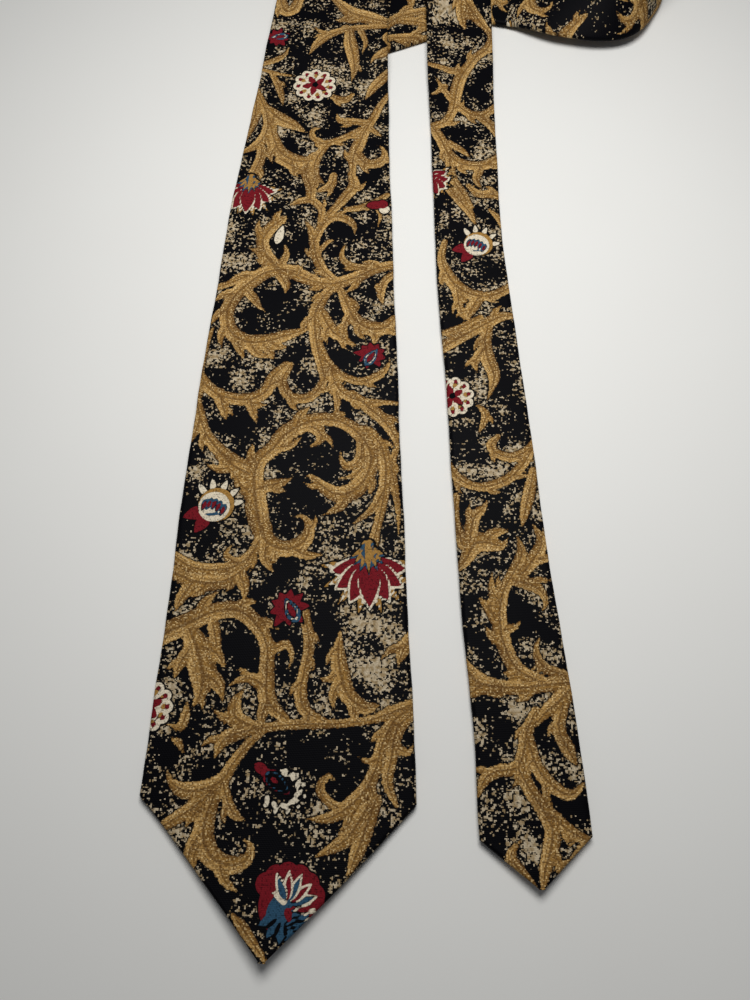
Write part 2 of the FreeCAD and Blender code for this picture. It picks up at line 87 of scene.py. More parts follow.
# How finely the path is worked out: lines along each part of it.
FRONT_STEPS = 330
TURN_STEPS = 17
DOWN_STEPS = 26
FOLD_STEPS = 13
UNDER_STEPS = 14
RING_STEPS = 560

# The camera stands over a foot on the table, tipped forward and turned a little.
CAMERA_FOOT = (33.62, 7.46)
CAMERA_HEIGHT = 280.8
CAMERA_TIP = math.radians(20.5)
CAMERA_TURN = math.radians(1.88)

FLAT = THICK / 2
NECK_FLAT = NECK_THICK / 2
LAYER = 2 * FOLD_RADIUS
LIFTED = FLAT + BACK_LIFT
STRAND_HEADING = math.radians(24.0)
FOLD_CENTRE = np.array([-4.0, FRONT_Y - 20.0, 0.0])
UNDER_Z = NECK_FLAT + 0.1
MIDDLE_Z = UNDER_Z + LAYER
TURN_Y = FRONT_Y + 62.0
TURN_LOW_Z = NECK_FLAT + 0.4
TURN_HIGH_Z = TURN_LOW_Z + 2 * TURN_RADIUS
TOP_Z = MIDDLE_Z + NECK_FLAT + FLAT + 0.6
TAIL_OVER_Z = UNDER_Z + NECK_FLAT + FLAT + 1.4

# The way the middle of the band goes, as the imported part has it.
FRONT_LINE = [
    (-0.6, -FRONT_POINT, 7.2),
    (0.0, -26.0, 3.9),
    (0.3, 0.0, FLAT + 0.4),
    (-0.6, 40.0, FLAT),
    (-1.6, 78.0, FLAT),
    (-2.6, 118.0, LIFTED),
    (-3.6, 200.0, LIFTED),
    (-3.8, 270.0, LIFTED),
    (-2.6, FRONT_Y - 65.0, LIFTED + 0.6),
    (-1.4, FRONT_Y - 30.0, TOP_Z),
    (-0.4, FRONT_Y + 15.0, TOP_Z + 0.8),
    (-1.0, TURN_Y - 20.0, TURN_HIGH_Z - 0.2),
    (-1.4, TURN_Y, TURN_HIGH_Z),
]
RING_LINE = [
    (24.0, FRONT_Y - 7.0, UNDER_Z, 0.0),
    (50.0, FRONT_Y + 5.0, UNDER_Z, 0.0),
    (74.0, FRONT_Y + 14.5, UNDER_Z + 0.3, 2.0),
    (97.0, FRONT_Y + 11.0, UNDER_Z + 1.1, 6.0),
    (121.0, FRONT_Y - 1.0, 5.5, 26.0),
    (146.0, FRONT_Y - 6.0, 5.0, 52.0),
    (165.0, FRONT_Y + 10.0, 2.2, 76.0),
    (172.0, FRONT_Y + 44.0, 1.0, 84.0),
    (164.0, FRONT_Y + 80.0, 1.0, 84.0),
    (139.0, FRONT_Y + 101.0, 1.0, 84.0),
    (106.0, FRONT_Y + 103.0, 1.0, 82.0),
    (80.0, FRONT_Y + 86.0, 1.0, 68.0),
    (67.5, FRONT_Y + 57.0, 4.2, 38.0),
    (TAIL_CROSS_X, FRONT_Y + 27.0, TAIL_OVER_Z + 0.5, 8.0),
    (TAIL_CROSS_X, FRONT_Y - 2.0, TAIL_OVER_Z, 0.0),
    (65.0, FRONT_Y - 20.0, TAIL_OVER_Z - 0.3, 0.0),
    (65.7, FRONT_Y - 52.0, FLAT + 1.6, 0.0),
    (66.8, FRONT_Y - 85.0, FLAT + 0.5, 0.0),
    (69.0, 235.0, FLAT + 0.5, 0.0),
    (75.3, 157.0, FLAT + 0.5, 0.0),
    (81.5, 75.0, FLAT + 0.5, 0.0),
    (TAIL_X - 2.0, TAIL_Y + 30.0, FLAT + 0.5, 0.0),
    (TAIL_X - 0.2, TAIL_Y, FLAT + 0.9, 0.0),
    (TAIL_X + 0.8, TAIL_Y - TAIL_POINT, 4.6, 0.0),
]

# The shoulders are the widest place, on the line's third point.
shell_low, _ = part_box("front_blade_shell")
ORIGIN = np.array([
    shell_low[0] / MM + FRONT_WIDTH / 2 - FRONT_LINE[2][0],
    shell_low[1] / MM + FRONT_POINT,
    0.0,
])

# =====================================================================================
# The band's path
# =====================================================================================


class Curve:
    """Smooth curve through given points (Hermite, chord-length knots)."""

    def __init__(self, points):
        self.points = np.array(points, float)
        gaps = np.linalg.norm(np.diff(self.points[:, :3], axis=0), axis=1)
        self.knots = np.concatenate([[0.0], np.cumsum(gaps)])
        self.length = self.knots[-1]
        chords = np.diff(self.points, axis=0) / gaps[:, None]
        slopes = np.zeros_like(self.points)
        slopes[0], slopes[-1] = chords[0], chords[-1]
        for i in range(1, len(self.points) - 1):
            back, ahead = chords[i - 1], chords[i]
            near, wide = gaps[i - 1], gaps[i]
            slopes[i] = (wide * back + near * ahead) / (wide + near)
            for k in range(2, self.points.shape[1]):
                product = back[k] * ahead[k]
                slopes[i, k] = 0.0 if product <= 0 else 2 * product / (back[k] + ahead[k])
        self.slopes = slopes

    def at(self, place):
        i = int(np.clip(np.searchsorted(self.knots, place, side="right") - 1, 0, len(self.knots) - 2))
        gap = self.knots[i + 1] - self.knots[i]
        x = (place - self.knots[i]) / gap
        return (
            (2 * x**3 - 3 * x**2 + 1) * self.points[i]
            + (x**3 - 2 * x**2 + x) * gap * self.slopes[i]
            + (-2 * x**3 + 3 * x**2) * self.points[i + 1]
            + (x**3 - x**2) * gap * self.slopes[i + 1]
        )


UP = np.array([0.0, 0.0, 1.0])


def unit(v):
    return v / np.linalg.norm(v)


def upright(middle, ahead, lean):
    """A line square to the band: middle, direction across, face normal, stretch."""
    ahead = unit(ahead)
    right = unit(np.cross(ahead, UP))
    level = np.cross(right, ahead)
    normal = level * math.cos(lean) + right * math.sin(lean)
    return (middle, np.cross(ahead, normal), normal, 1.0)


def front_lines():
    """Up the wide blade, from its tip to where the cloth turns over."""
    curve = Curve(FRONT_LINE)
    lines = []
    for place in np.linspace(0.0, curve.length, FRONT_STEPS):
        here, near, past = (curve.at(np.clip(p, 0, curve.length))
                            for p in (place, place + 0.5, place - 0.5))
        lines.append(upright(here, near - past, 0.0))
    return lines


def turn_lines():
    """Half a round turn at the top of the wide blade."""
    centre = np.array([FRONT_LINE[-1][0], TURN_Y, TURN_HIGH_Z - TURN_RADIUS])
    lines = []
    for angle in np.linspace(0.0, math.pi, TURN_STEPS)[1:]:
        normal = np.array([0.0, math.sin(angle), math.cos(angle)])
        lines.append((centre + normal * TURN_RADIUS, np.array([1.0, 0, 0]), normal, 1.0))
    return lines


def fold_lines():
    """Down behind the blade, over the slanted fold and out to the strand."""
    lean = (STRAND_HEADING - math.pi / 2) / 2
    line = np.array([math.cos(lean), math.sin(lean), 0.0])
    side = np.array([math.sin(lean), -math.cos(lean), 0.0])
    lines = []
    # y, height and share of the turn towards the strand, on the way down from the turn
    knots = [
        (TURN_Y, TURN_LOW_Z, 0.0),
        (TURN_Y - 22.0, TURN_LOW_Z + 0.3, 0.0),
        (TURN_Y - 36.0, (TURN_LOW_Z + MIDDLE_Z) / 2, 0.3),
        (FOLD_CENTRE[1] + 14.0, MIDDLE_Z, 0.8),
        (FOLD_CENTRE[1], MIDDLE_Z, 1.0),
    ]
    ys, heights, turns = zip(*reversed(knots))
    for y in np.linspace(TURN_Y - 3.0, FOLD_CENTRE[1] + 1.0, DOWN_STEPS):
        z = np.interp(y, ys, heights)
        angle = lean * np.interp(y, ys, turns)
        along = (TURN_Y - y) / (TURN_Y - FOLD_CENTRE[1])
        x = FRONT_LINE[-1][0] * (1 - along) + FOLD_CENTRE[0] * along
        across = np.array([math.cos(angle), math.sin(angle), 0.0])
        lines.append((np.array([x, y, z]), across, -UP, 1.0 / across[0]))
    centre = FOLD_CENTRE + UP * (MIDDLE_Z - FOLD_RADIUS)
    for angle in np.linspace(0.0, math.pi, FOLD_STEPS):
        out = side * math.sin(angle) + UP * math.cos(angle)
        lines.append((centre + out * FOLD_RADIUS, line, -out, 1.0 / abs(line[0])))
    first = np.array([RING_LINE[0][0], RING_LINE[0][1], UNDER_Z])
    base = FOLD_CENTRE + UP * UNDER_Z
    square = np.array([math.sin(STRAND_HEADING), -math.cos(STRAND_HEADING), 0.0])
    for share in np.linspace(0.0, 1.0, UNDER_STEPS)[1:-1]:
        angle = lean * (1 - share) + (STRAND_HEADING - math.pi / 2) * share
        across = np.array([math.cos(angle), math.sin(angle), 0.0])
        middle = base * (1 - share) + first * share
        lines.append((middle, across, UP, 1.0 / across.dot(square)))
    return lines


def ring_lines():
    """The strand, the standing ring and the narrow blade down to its tip."""
    curve = Curve(RING_LINE)

    def raised(place):
        x, y, low, lean = curve.at(np.clip(place, 0.0, curve.length))
        lean = math.radians(lean)
        return np.array([x, y, low + NECK_WIDTH / 2 * math.sin(lean)]), lean

    lines = []
    for place in np.linspace(0.0, curve.length, RING_STEPS):
        here, lean = raised(place)
        lines.append(upright(here, raised(place + 0.5)[0] - raised(place - 0.5)[0], lean))
    return lines


class Band:
    """Where every point of the band is, by its distance from the wide tip."""

    def __init__(self):
        lines = front_lines() + turn_lines() + fold_lines() + ring_lines()
        self.middle = np.array([line[0] for line in lines])
        self.across = np.array([line[1] for line in lines])
        self.normal = np.array([line[2] for line in lines])
        self.stretch = np.array([line[3] for line in lines])
        steps = np.linalg.norm(np.diff(self.middle, axis=0), axis=1)
        self.place = np.concatenate([[0.0], np.cumsum(steps)])
        self.total = self.place[-1]

    def row(self, table, places):
        return np.stack([np.interp(places, self.place, table[:, k]) for k in range(3)], axis=1)

    def at(self, places):
        """Middles, directions across (with their stretch) and normals at these places."""
        normal = self.row(self.normal, places)
        normal /= np.linalg.norm(normal, axis=1)[:, None]
        across = self.row(self.across, places)
        across /= np.linalg.norm(across, axis=1)[:, None]
        stretch = np.interp(places, self.place, self.stretch)
        return self.row(self.middle, places), across * stretch[:, None], normal


band = Band()
TOTAL = band.total
FOLD_PLACE = FRONT_POINT + TURN_Y + math.pi * TURN_RADIUS + TURN_Y - FOLD_CENTRE[1]

# Folded width and thickness, each by the distance from the wide tip.
WIDTHS = [
    (0.0, EDGE_WIDTH),
    (FRONT_POINT, FRONT_WIDTH),
    (FRONT_POINT + 155.0, FRONT_WIDTH * 0.872),
    (FRONT_POINT + 262.0, FRONT_WIDTH * 0.764),
    (FRONT_POINT + FRONT_Y, FRONT_WIDTH * 0.586),
    (FOLD_PLACE - 30.0, STRAND_WIDTH + 2.0),
    (FOLD_PLACE + 60.0, STRAND_WIDTH),
    (TAIL_SEAM - 100.0, NECK_WIDTH),
    (TOTAL - TAIL_POINT - 385.0, TAIL_WIDTH * 0.875),
    (TOTAL - TAIL_POINT - 270.0, TAIL_WIDTH * 0.79),
    (TOTAL - TAIL_POINT - 160.0, TAIL_WIDTH * 0.865),
    (TOTAL - TAIL_POINT, TAIL_WIDTH),
    (TOTAL, EDGE_WIDTH),
]
THICKNESSES = [
    (0.0, EDGE_THICK),
    (FRONT_POINT * 0.4, NECK_THICK),
    (FRONT_POINT, THICK),
    (FRONT_POINT + FRONT_Y, THICK),
    (FOLD_PLACE - 40.0, NECK_THICK),
    (TAIL_SEAM, NECK_THICK),
    (TOTAL - 380.0, THICK),
    (TOTAL - TAIL_POINT, THICK),
    (TOTAL - TAIL_POINT * 0.4, NECK_THICK),
    (TOTAL, EDGE_THICK),
]


def table_at(table, places):
    return np.interp(places, [row[0] for row in table], [row[1] for row in table])


def half_at(places):
    return table_at(WIDTHS, places) / 2


def thick_at(places):
    return table_at(THICKNESSES, places) / 2


def opening_at(places):
    """Half the open width at the back of the two tips: an upturned V, 0 where closed."""
    half = half_at(places)
    out = np.zeros_like(places)
    for from_tip, opening, point, width in (
        (places, FRONT_OPENING, FRONT_POINT, FRONT_WIDTH),
        (TOTAL - places, TAIL_OPENING, TAIL_POINT, TAIL_WIDTH),
    ):
        slope = width / 2 / point
        hem = HEM * math.sqrt(1 + slope * slope)
        low = half - np.minimum(hem, half * 0.6)
        wide = width / 2 - HEM
        high = wide * (opening - from_tip) / (opening - point)
        here = np.where(from_tip <= point, np.minimum(low, wide), high)
        out = np.where(from_tip < opening, np.maximum(out, here), out)
    return np.maximum(out, 0.0)


def ripple(places, seed, sizes):
    """A few slow waves along the cloth, the same on every run."""
    rng = np.random.default_rng(seed)
    out = np.zeros_like(places)
    for size, length in sizes:
        out += size * np.sin(places * 2 * math.pi / length + rng.uniform(0, 2 * math.pi))
    return out


# =====================================================================================
# Meshes along the band
# =====================================================================================


def to_object(name, points, faces):
    """A smooth mesh object from points in the flat frame."""
    mesh = bpy.data.meshes.new(name)
    points = (np.asarray(points) + ORIGIN) * MM
    mesh.from_pydata(points.tolist(), [], faces)
    mesh.update()
    mesh.polygons.foreach_set("use_smooth", [True] * len(mesh.polygons))
    piece = bpy.data.objects.new(name, mesh)
    bpy.context.scene.collection.objects.link(piece)
    return piece


def grid_faces(rows, columns):
    first = (np.arange(rows - 1)[:, None] * columns + np.arange(columns - 1)[None, :]).ravel()
    quads = np.stack([first, first + 1, first + columns + 1, first + columns], axis=1)
    return quads.tolist()


def profile(half, thick, opening, columns):
    """Across the band: from the back's left edge round the face to the back's right edge.

    Gives u (across) and v (out of the face), one row for each place.
    """
    back, edge, face = columns
    radius = np.minimum(thick, half * 0.9)[:, None]
    half = half[:, None]
    level = half - radius
    closed = opening[:, None] < 0.8
    # the two backs meet in a lap where the back is closed, and part at the tips
    end = np.minimum(np.where(closed, -LAP, opening[:, None]), level * 0.96)
    lapped = np.where(closed, 0.5, 0.0)

    def back_side(lift):
        t = np.linspace(0.0, 1.0, back)[None, :]
        u = end + (level - end) * t
        v = -radius + lift * np.clip(1 - (u - end) / 6.0, 0, 1)
        # a folded edge: the cloth turns in on itself
        turn = np.linspace(0.0, 1.0, 5)[None, :-1]
        depth = np.minimum(TURN_IN, (level - end) * 0.5)
        inner_u = end + depth * (1 - turn)
        rise = 0.55 * np.sqrt(np.clip(1 - turn**4, 0, 1)) * np.minimum(1, radius)
        inner_v = -radius + lift + rise
        return np.concatenate([inner_u, u], 1), np.concatenate([inner_v, v], 1)

    left_u, left_v = back_side(lapped)
    right_u, right_v = back_side(np.zeros_like(lapped))
    angle = np.linspace(-math.pi / 2, math.pi / 2, edge)[None, 1:-1]
    arc_u = level + radius * np.cos(angle)
    arc_v = radius * np.sin(angle)
    across = np.linspace(-1.0, 1.0, face)[None, :]
    face_u = level * across
    crown = 0.25 * (1 - across**2) * np.clip(half / 30, 0, 1)
    face_v = radius + crown
    parts_u = [-left_u, -arc_u, face_u, arc_u[:, ::-1], right_u[:, ::-1]]
    parts_v = [left_v, arc_v, face_v, arc_v[:, ::-1], right_v[:, ::-1]]
    return np.concatenate(parts_u, 1), np.concatenate(parts_v, 1)


def band_mesh(name, places, outline):
    """A mesh with outline(places) -> u, v drawn across the band at each place."""
    middle, across, normal = band.at(places)
    u, v = outline(places)
    points = (
        middle[:, None, :] + across[:, None, :] * u[..., None] + normal[:, None, :] * v[..., None]
    )
    rows, columns = u.shape
    piece = to_object(name, points.reshape(-1, 3), grid_faces(rows, columns))
    return piece, u, v, points


def set_attribute(piece, name, values):
    values = np.asarray(values, np.float32)
    kind = "FLOAT" if values.ndim == 1 else "FLOAT_VECTOR"
    layer = piece.data.attributes.new(name, kind, "POINT")
    layer.data.foreach_set("value" if kind == "FLOAT" else "vector", values.ravel())


# =====================================================================================
# The woven pattern: leafy scrolls in gold, sandy speckle and a few flowers, drawn as
# curves in millimetres on the cloth, with x across and y up the laid-out blades.
# Each stroke is a list of (x, y, half width). The strokes' places, the pools and the
# flowers' places are given one by one, and follow the layout of the photo's fabric.
# =====================================================================================

WIDE_SCROLLS = [
    # round the point and the shoulders
    [(49, 35, 2), (40, 31, 2.6), (30, 27.5, 1.6), (18, 26, 1.8), (6, 25.5, 2), (-6, 24, 1.8),
     (-15, 22, 2.6), (-21, 19, 2.6), (-23.5, 13, 0.5)],
    [(5, 66, 2.2), (7.5, 54, 2.3), (6.3, 44, 2.2), (5.5, 36, 2.6), (8, 30, 2.4), (16, 26.5, 1)],
    [(-52, 54, 4.5), (-40, 60, 4.2), (-30, 65, 3.6), (-20, 66, 3.5), (-12, 60, 3.2),
     (-8, 52, 2.8), (-7.5, 42, 3.2), (-6, 33, 3.4), (1, 27, 1.5)],
    [(-38, 59, 2.5), (-34, 51, 5.2), (-31, 42, 5), (-31, 35, 2.5), (-33.5, 30, 0.4)],
    [(-36, 52, 3), (-40, 45, 2.2), (-41, 40, 0.4)],
    [(-29, 60, 2.6), (-27, 53, 2), (-25, 47.5, 0.4)],
    [(-7, 38, 3), (-13, 41, 2.2), (-18, 40, 1.2), (-21.5, 37.5, 0.3)],
    [(-5, 52, 1.8), (-1, 54, 1.8), (1.5, 49.5, 1.1), (0.5, 45, 0.4)],
    [(-10, 24, 2), (-17, 27, 3), (-18, 32, 2.4), (-15.5, 37, 0.4)],
    [(19, 60, 0.5), (18.5, 51, 2.8), (20, 43, 3.6), (23, 36, 3.2), (29, 32, 2.6), (34, 33, 0.8)],
    [(20, 45, 2.6), (15, 41.5, 1.3), (11, 42.5, 0.3)],
    [(48, 60, 3), (43, 54, 3), (41, 48, 0.8)],
    [(49, 34, 3.2), (41, 29, 3), (36, 20, 2.5), (34, 12, 2.4), (30.5, 4.5, 2.8), (24, -2, 2.8),
     (17, -5.5, 1.8), (10, -5.5, 0.4)],
    [(47, 31, 2.2), (41, 25, 3), (39, 14, 2.4), (38, 7, 2.2), (41.5, -1, 1)],
    [(31, -2, 3), (25, -11, 2.8), (20, -14.5, 2), (14, -17.5, 0.5)],
    [(34, 1, 2.5), (31, -8, 3), (28.5, -15, 2.8), (25.5, -23, 0.8)],
    [(23, -3, 1.8), (16.5, 1, 1.8), (14.5, 5, 1.8), (17.5, 8.5, 1.1), (20, 6, 0.4)],
    [(35, 15, 2.2), (31, 13.5, 1.3), (27, 15.5, 0.3)],
    [(40, 19, 2.2), (45, 17, 1.4), (47, 20, 0.4)],
    [(-6, 23, 1), (-12, 18, 1.8), (-17, 11, 2.2), (-20, 6, 2.6), (-26, 2.6, 3.2), (-33, 2, 3),
     (-38, 5, 1.4), (-40, 9, 0.4)],
    [(-23, 2, 2.8), (-30, -4, 2.6), (-37, -8.5, 2.2), (-44, -13, 0.5)],
    [(-21, 4, 2.2), (-24, -5, 3.4), (-24.5, -13, 4), (-20.5, -19, 3.6), (-14, -21, 3.1),
     (-9, -19, 2.3), (-8, -15, 1.3), (-11, -13, 0.4)],
    [(-19.5, 5, 1.8), (-17, -2, 2.2), (-14, -5.5, 1.8), (-10.5, -7, 0.4)],
    [(-26, -12, 3), (-29, -18, 2), (-27.5, -22, 0.5)],
    [(-35.5, 32, 0.5), (-35.5, 27, 2), (-37, 23, 1.6), (-42, 24, 0.4)],
    [(-40, 19, 0.4), (-37, 18, 1.6), (-34.5, 14, 0.4)],
    [(-13, -35, 0.4), (-9, -39, 2), (-5, -43.5, 1.8), (0, -49, 1)],
    # the arch and the spiral above it
    [(-48, 170, 2), (-42, 161, 2.8), (-34, 156.5, 3), (-24, 156, 3), (-17.5, 160, 3),
     (-15, 167, 2.6), (-10, 173, 2)],
    [(-37, 158, 3), (-34.5, 151, 2.4), (-33, 146, 0.5)],
    [(-24, 156, 3), (-22, 150, 2.1), (-20, 145, 0.4)],
    [(-48, 162, 2), (-45.5, 152, 2.2), (-43.5, 146, 2.6), (-41, 140, 2.6), (-36, 133.5, 3),
     (-30, 129, 3), (-23, 126, 2)],
    [(-44, 148, 2.4), (-45, 140, 1.6), (-47.5, 134, 0.4)],
    [(-14, 97, 3.4), (-16, 104, 4.6), (-18, 113, 4.6), (-19, 121, 4), (-17.5, 128, 3.6),
     (-12, 134, 3.6), (-8, 140, 4.2), (-1, 145, 4), (7, 147.5, 3.4), (15, 146.5, 3),
     (21.5, 142.5, 3.2), (26.5, 136, 3.4), (28, 129, 3.6), (25.5, 121, 3.8), (20.5, 115.5, 4),
     (14.5, 114.5, 3.6), (9, 117.5, 2.6), (5, 121, 1.5), (1.5, 122.5, 0.4)],
    [(24, 139, 2.4), (23.5, 130, 2.6), (18.5, 126.5, 2), (15.5, 130.5, 1), (15.5, 134, 0.3)],
    [(25, 127, 2.2), (21, 122.6, 1.4), (15, 121, 0.3)],
    [(-21, 122, 3.4), (-27, 125, 3.6), (-33, 130, 3), (-38, 137, 2)],
    [(-19, 115, 3), (-12, 117.5, 2.8), (-7, 119, 1.7), (-3.5, 121, 0.3)],
    [(-14, 100, 4), (-12, 94, 4), (-6, 91, 3.6), (0, 92, 3.6), (4, 96, 3), (4.5, 101, 1.9),
     (1.5, 104.5, 1.1), (-2, 104, 0.3)],
    [(-9, 92, 2.4), (-8, 87, 1.6), (-9.5, 84, 0.3)],
    [(-14, 96, 2), (-17.5, 88, 2.4), (-24, 83, 2.8), (-33, 81.5, 2.8), (-41, 83, 2.7),
     (-50, 88.5, 2)],
    [(-18, 84, 1.6), (-26, 77.5, 3), (-36, 76.5, 3.4), (-44, 79, 3), (-50, 82, 2)],
    [(-39, 76, 3), (-42.5, 70, 2.2), (-44, 65, 0.5)],
    [(-21, 80, 3), (-19, 76, 2.5), (-18, 70, 0.5)],
    [(-17.5, 86, 2), (-23, 85, 2), (-27, 88, 1.4), (-25, 92, 0.4)],
    [(-29, 128, 1.6), (-27.5, 123.5, 1.8), (-28, 119, 0.4)],
    [(-23, 127, 1.6), (-24, 122, 1.6), (-22.5, 118, 0.4)],
    [(9, 173, 2), (12, 164, 2.4), (17, 159, 2.4), (24, 156.5, 2.2), (33, 156.2, 1.4), (41, 156, 0.8)],
    [(19, 160, 2), (27, 153, 3), (33.5, 147, 2.8), (37.5, 140, 1.8), (39, 134, 0.5)],
    [(26, 143, 1.2), (31.5, 137, 2.4), (34, 128, 3), (34, 119, 2.8), (33, 110, 2.2),
     (31.5, 102, 2), (30, 94, 2.4)],
    [(34, 118, 2.6), (30, 109.5, 2), (25, 104.5, 1.2), (20.5, 101, 0.3)],
    [(39, 137, 1), (36.5, 128, 2), (38, 118, 1.7), (39.5, 108, 1.3), (40, 98, 0.4)],
    [(12, 161, 1.8), (13, 155, 1.6), (12, 149, 0.4)],
    [(-8, 173, 1.6), (-11, 165, 2.3), (-7.5, 158, 2.5), (-1, 157, 2.5), (4, 160.5, 2.3),
     (7, 167, 1.8), (8.5, 173, 1.4)],
    [(1, 145, 3), (6, 142, 2.8), (6.5, 137.5, 1.7), (2, 134.5, 0.4)],
    # the crossing scrolls in the middle of the blade
    [(36, 226.5, 2.4), (27, 224, 3), (18, 219, 3.2), (9, 215.5, 3.2), (0, 216, 3), (-9, 219.5, 3.2),
     (-17, 223, 3), (-22.5, 228, 2.4), (-25.5, 234, 1.8), (-28.5, 239, 0.5)],
    [(0, 218, 1.5), (-12, 222, 3), (-22, 220.5, 3.6), (-30, 214, 4), (-36, 206, 3.6),
     (-38, 197, 3.4), (-35, 188.5, 3.6), (-28, 184, 4), (-19, 184.5, 3.6), (-10, 188, 2.8),
     (-2, 191, 1)],
    [(-32, 212, 2.4), (-27, 206.5, 2.4), (-24, 202, 1.3), (-21, 199.5, 0.3)],
    [(-16, 219, 2.6), (-13, 214, 2.2), (-13, 209.5, 0.4)],
    [(-47, 210.5, 1.8), (-40, 213, 1.9), (-34, 216, 1.8), (-27, 220, 1.2)],
    [(-22, 184, 3), (-17.5, 179.5, 2), (-15.5, 175, 0.4)],
    [(-32, 184, 3), (-30, 179, 1.8), (-28, 175, 0.4)],
    [(-43, 191, 0.6), (-45.5, 182, 2), (-46.5, 173, 2.2), (-46.5, 165, 1.6)],
    [(9, 215, 1.6), (3.5, 207, 2.9), (1, 199, 3.3), (1.5, 190, 3), (3, 182, 3), (5, 174, 2.4),
     (7, 166, 2)],
    [(4, 199, 3), (9, 190.5, 3), (15, 186, 1.9), (20, 183.5, 0.4)],
    [(11, 213, 1.6), (15, 204, 3), (18.5, 197, 3.2), (25, 192.5, 4), (32, 193, 3.4), (36, 198, 2)],
    [(17, 201, 2.8), (14, 193, 2), (15, 187, 1.5), (18.5, 182.5, 0.3)],
    [(26, 192, 3), (28, 187, 1.8), (26, 184, 0.4)],
    [(31, 204.5, 0.4), (29.5, 210, 2), (31, 217, 2.2), (36, 222, 2)],
    [(3.5, 183, 2.2), (8, 174.5, 2.2), (14.5, 168.5, 2), (22, 166, 2.1), (29, 168.5, 2.2),
     (33, 172.5, 1.4), (34.5, 177.5, 0.3)],
    [(-17, 223, 2.4), (-23.5, 231, 3), (-25.5, 238, 3.2), (-22.5, 245, 3.4), (-18, 249.5, 2.6),
     (-15.5, 252, 0.5)],
    [(-24, 231, 2.2), (-28, 232, 1.5), (-32, 233.5, 0.3)],
    [(-16, 225, 2.4), (-14, 231, 1.6), (-15.5, 236.5, 0.4)],
    [(10, 216, 2.2), (3.5, 222, 2.4), (-0.5, 230, 2.7), (-2, 238, 2.4), (-4, 245, 1.7),
     (-7, 250, 0.4)],
    [(-1.5, 239, 2.2), (1.5, 247, 2.2), (6, 252, 2.3), (12, 251.5, 2.4), (16, 247.5, 1.6),
     (16.5, 242.5, 0.3)],
    [(0, 232, 1.6), (5, 238.5, 1.2), (7.5, 238.5, 0.3)],
    [(24, 224, 2.2), (16, 225, 2.1), (11.5, 229, 1.6), (11.5, 234, 1), (13, 237, 0.3)],
    [(-1, 244, 1.6), (2.5, 251, 2), (6.5, 257, 2.2), (11, 264, 2.8), (15, 271, 3), (13.5, 278, 2.2)],
    [(0, 250, 1.4), (0.5, 256, 2), (-4, 261.5, 2.2), (-10, 261, 2), (-14.5, 258.5, 0.5)],
    [(-5, 262, 2.4), (-5.5, 270, 2.8), (-8.5, 278, 2.4), (-7, 286, 2)],
    [(5, 277, 2), (4, 271, 2.6), (-1, 267.5, 1.4)],
    [(12, 257, 1.6), (18, 258, 2), (25, 261.5, 2), (31, 266, 1.6)],
    [(25, 260, 1.2), (28, 254, 1.2), (27, 247, 0.4)],
    # the top of the blade
    [(14, 279, 1.6), (14, 289, 3), (16.5, 297, 3.4), (19, 305, 2.7), (23, 314, 2.3),
     (26, 322, 2), (31, 331, 1.5)],
    [(15, 291, 3), (20, 285, 3), (26.5, 285.5, 3), (29, 290, 2), (27.5, 295, 0.9), (25, 296, 0.3)],
    [(20, 309, 1.7), (24, 304.5, 1.6), (27.5, 301.5, 0.4)],
    [(-3, 296, 2.4), (4, 298, 2.1), (11.5, 302, 2.1), (19, 308, 1.6)],
    [(20, 310.5, 2), (12.5, 311, 2.4), (6.5, 311.5, 2), (4.5, 315.5, 0.4)],
    [(1, 296, 2), (-3, 289, 2.4), (-4.5, 282, 2.6), (-3, 275.5, 2), (0.5, 272, 0.8)],
    [(-2, 297, 2.2), (-6.5, 300.5, 1.8), (-6.5, 305, 1.4), (-2.5, 306.5, 0.4)],
    [(-36.5, 331, 1.4), (-33, 322, 2.4), (-30, 314, 2.5), (-29, 305, 2.7), (-32, 296, 3),
     (-39, 290, 1.4)],
    [(-31, 319, 2.2), (-24, 312, 4), (-17, 308, 3.2), (-10, 303.5, 0.6)],
    [(-28, 309, 2.4), (-25, 298, 3), (-21, 290, 3.7), (-14, 285.5, 4), (-7, 285.5, 2.4),
     (-2.5, 288, 0.5)],
    [(-32, 298, 2), (-30.5, 288, 2.7), (-33, 278, 2.7), (-37, 268, 2)],
    [(-21, 286, 3), (-14, 281.5, 2.8), (-7, 278, 1.6)],
    [(-37, 328, 2), (-35.5, 316, 3), (-38, 305, 3), (-41, 295, 1.6)],
    [(-35, 344.5, 1.3), (-28, 342, 1.4), (-20, 340.5, 0.9), (-16, 340, 0.3)],
    [(-30, 342, 1.3), (-26, 334, 2.1), (-23.5, 326, 1.6), (-22.5, 320, 0.3)],
    [(-35, 348, 1.7), (-28, 351.5, 2), (-24, 355, 1.4), (-22.5, 360, 0.4)],
    [(-30, 397, 3), (-26.5, 387, 3.7), (-22, 388, 3.6), (-19.5, 395, 2.8)],
    [(29, 380, 2.4), (18.5, 383, 4.6), (9, 386.5, 4.4), (3, 392.5, 3), (-2, 398, 1.6)],
    [(8, 384, 2.6), (3.5, 380.5, 1.6), (0.5, 381, 0.3)],
    [(28, 377, 1.5), (16, 376, 2.1), (6, 374, 2.2), (-2, 370, 2.7), (-8, 363.5, 2.4), (-11.5, 356, 0.5)],
    [(-2, 371, 2), (-7, 372.5, 1.3), (-11, 376, 0.3)],
    [(8, 375, 2), (9, 365, 3.6), (11, 355, 3.4), (12, 346, 2.2), (11, 338, 0.5)],
    [(14, 374, 2), (17, 365, 1.5), (15.5, 357, 0.4)],
    [(31, 363, 1.3), (26.5, 358, 3), (22, 354.5, 1.4), (20, 350, 0.4)],
    [(30, 346, 1.8), (26.5, 340, 3), (22, 333.5, 2.6), (18.5, 326, 0.6)],
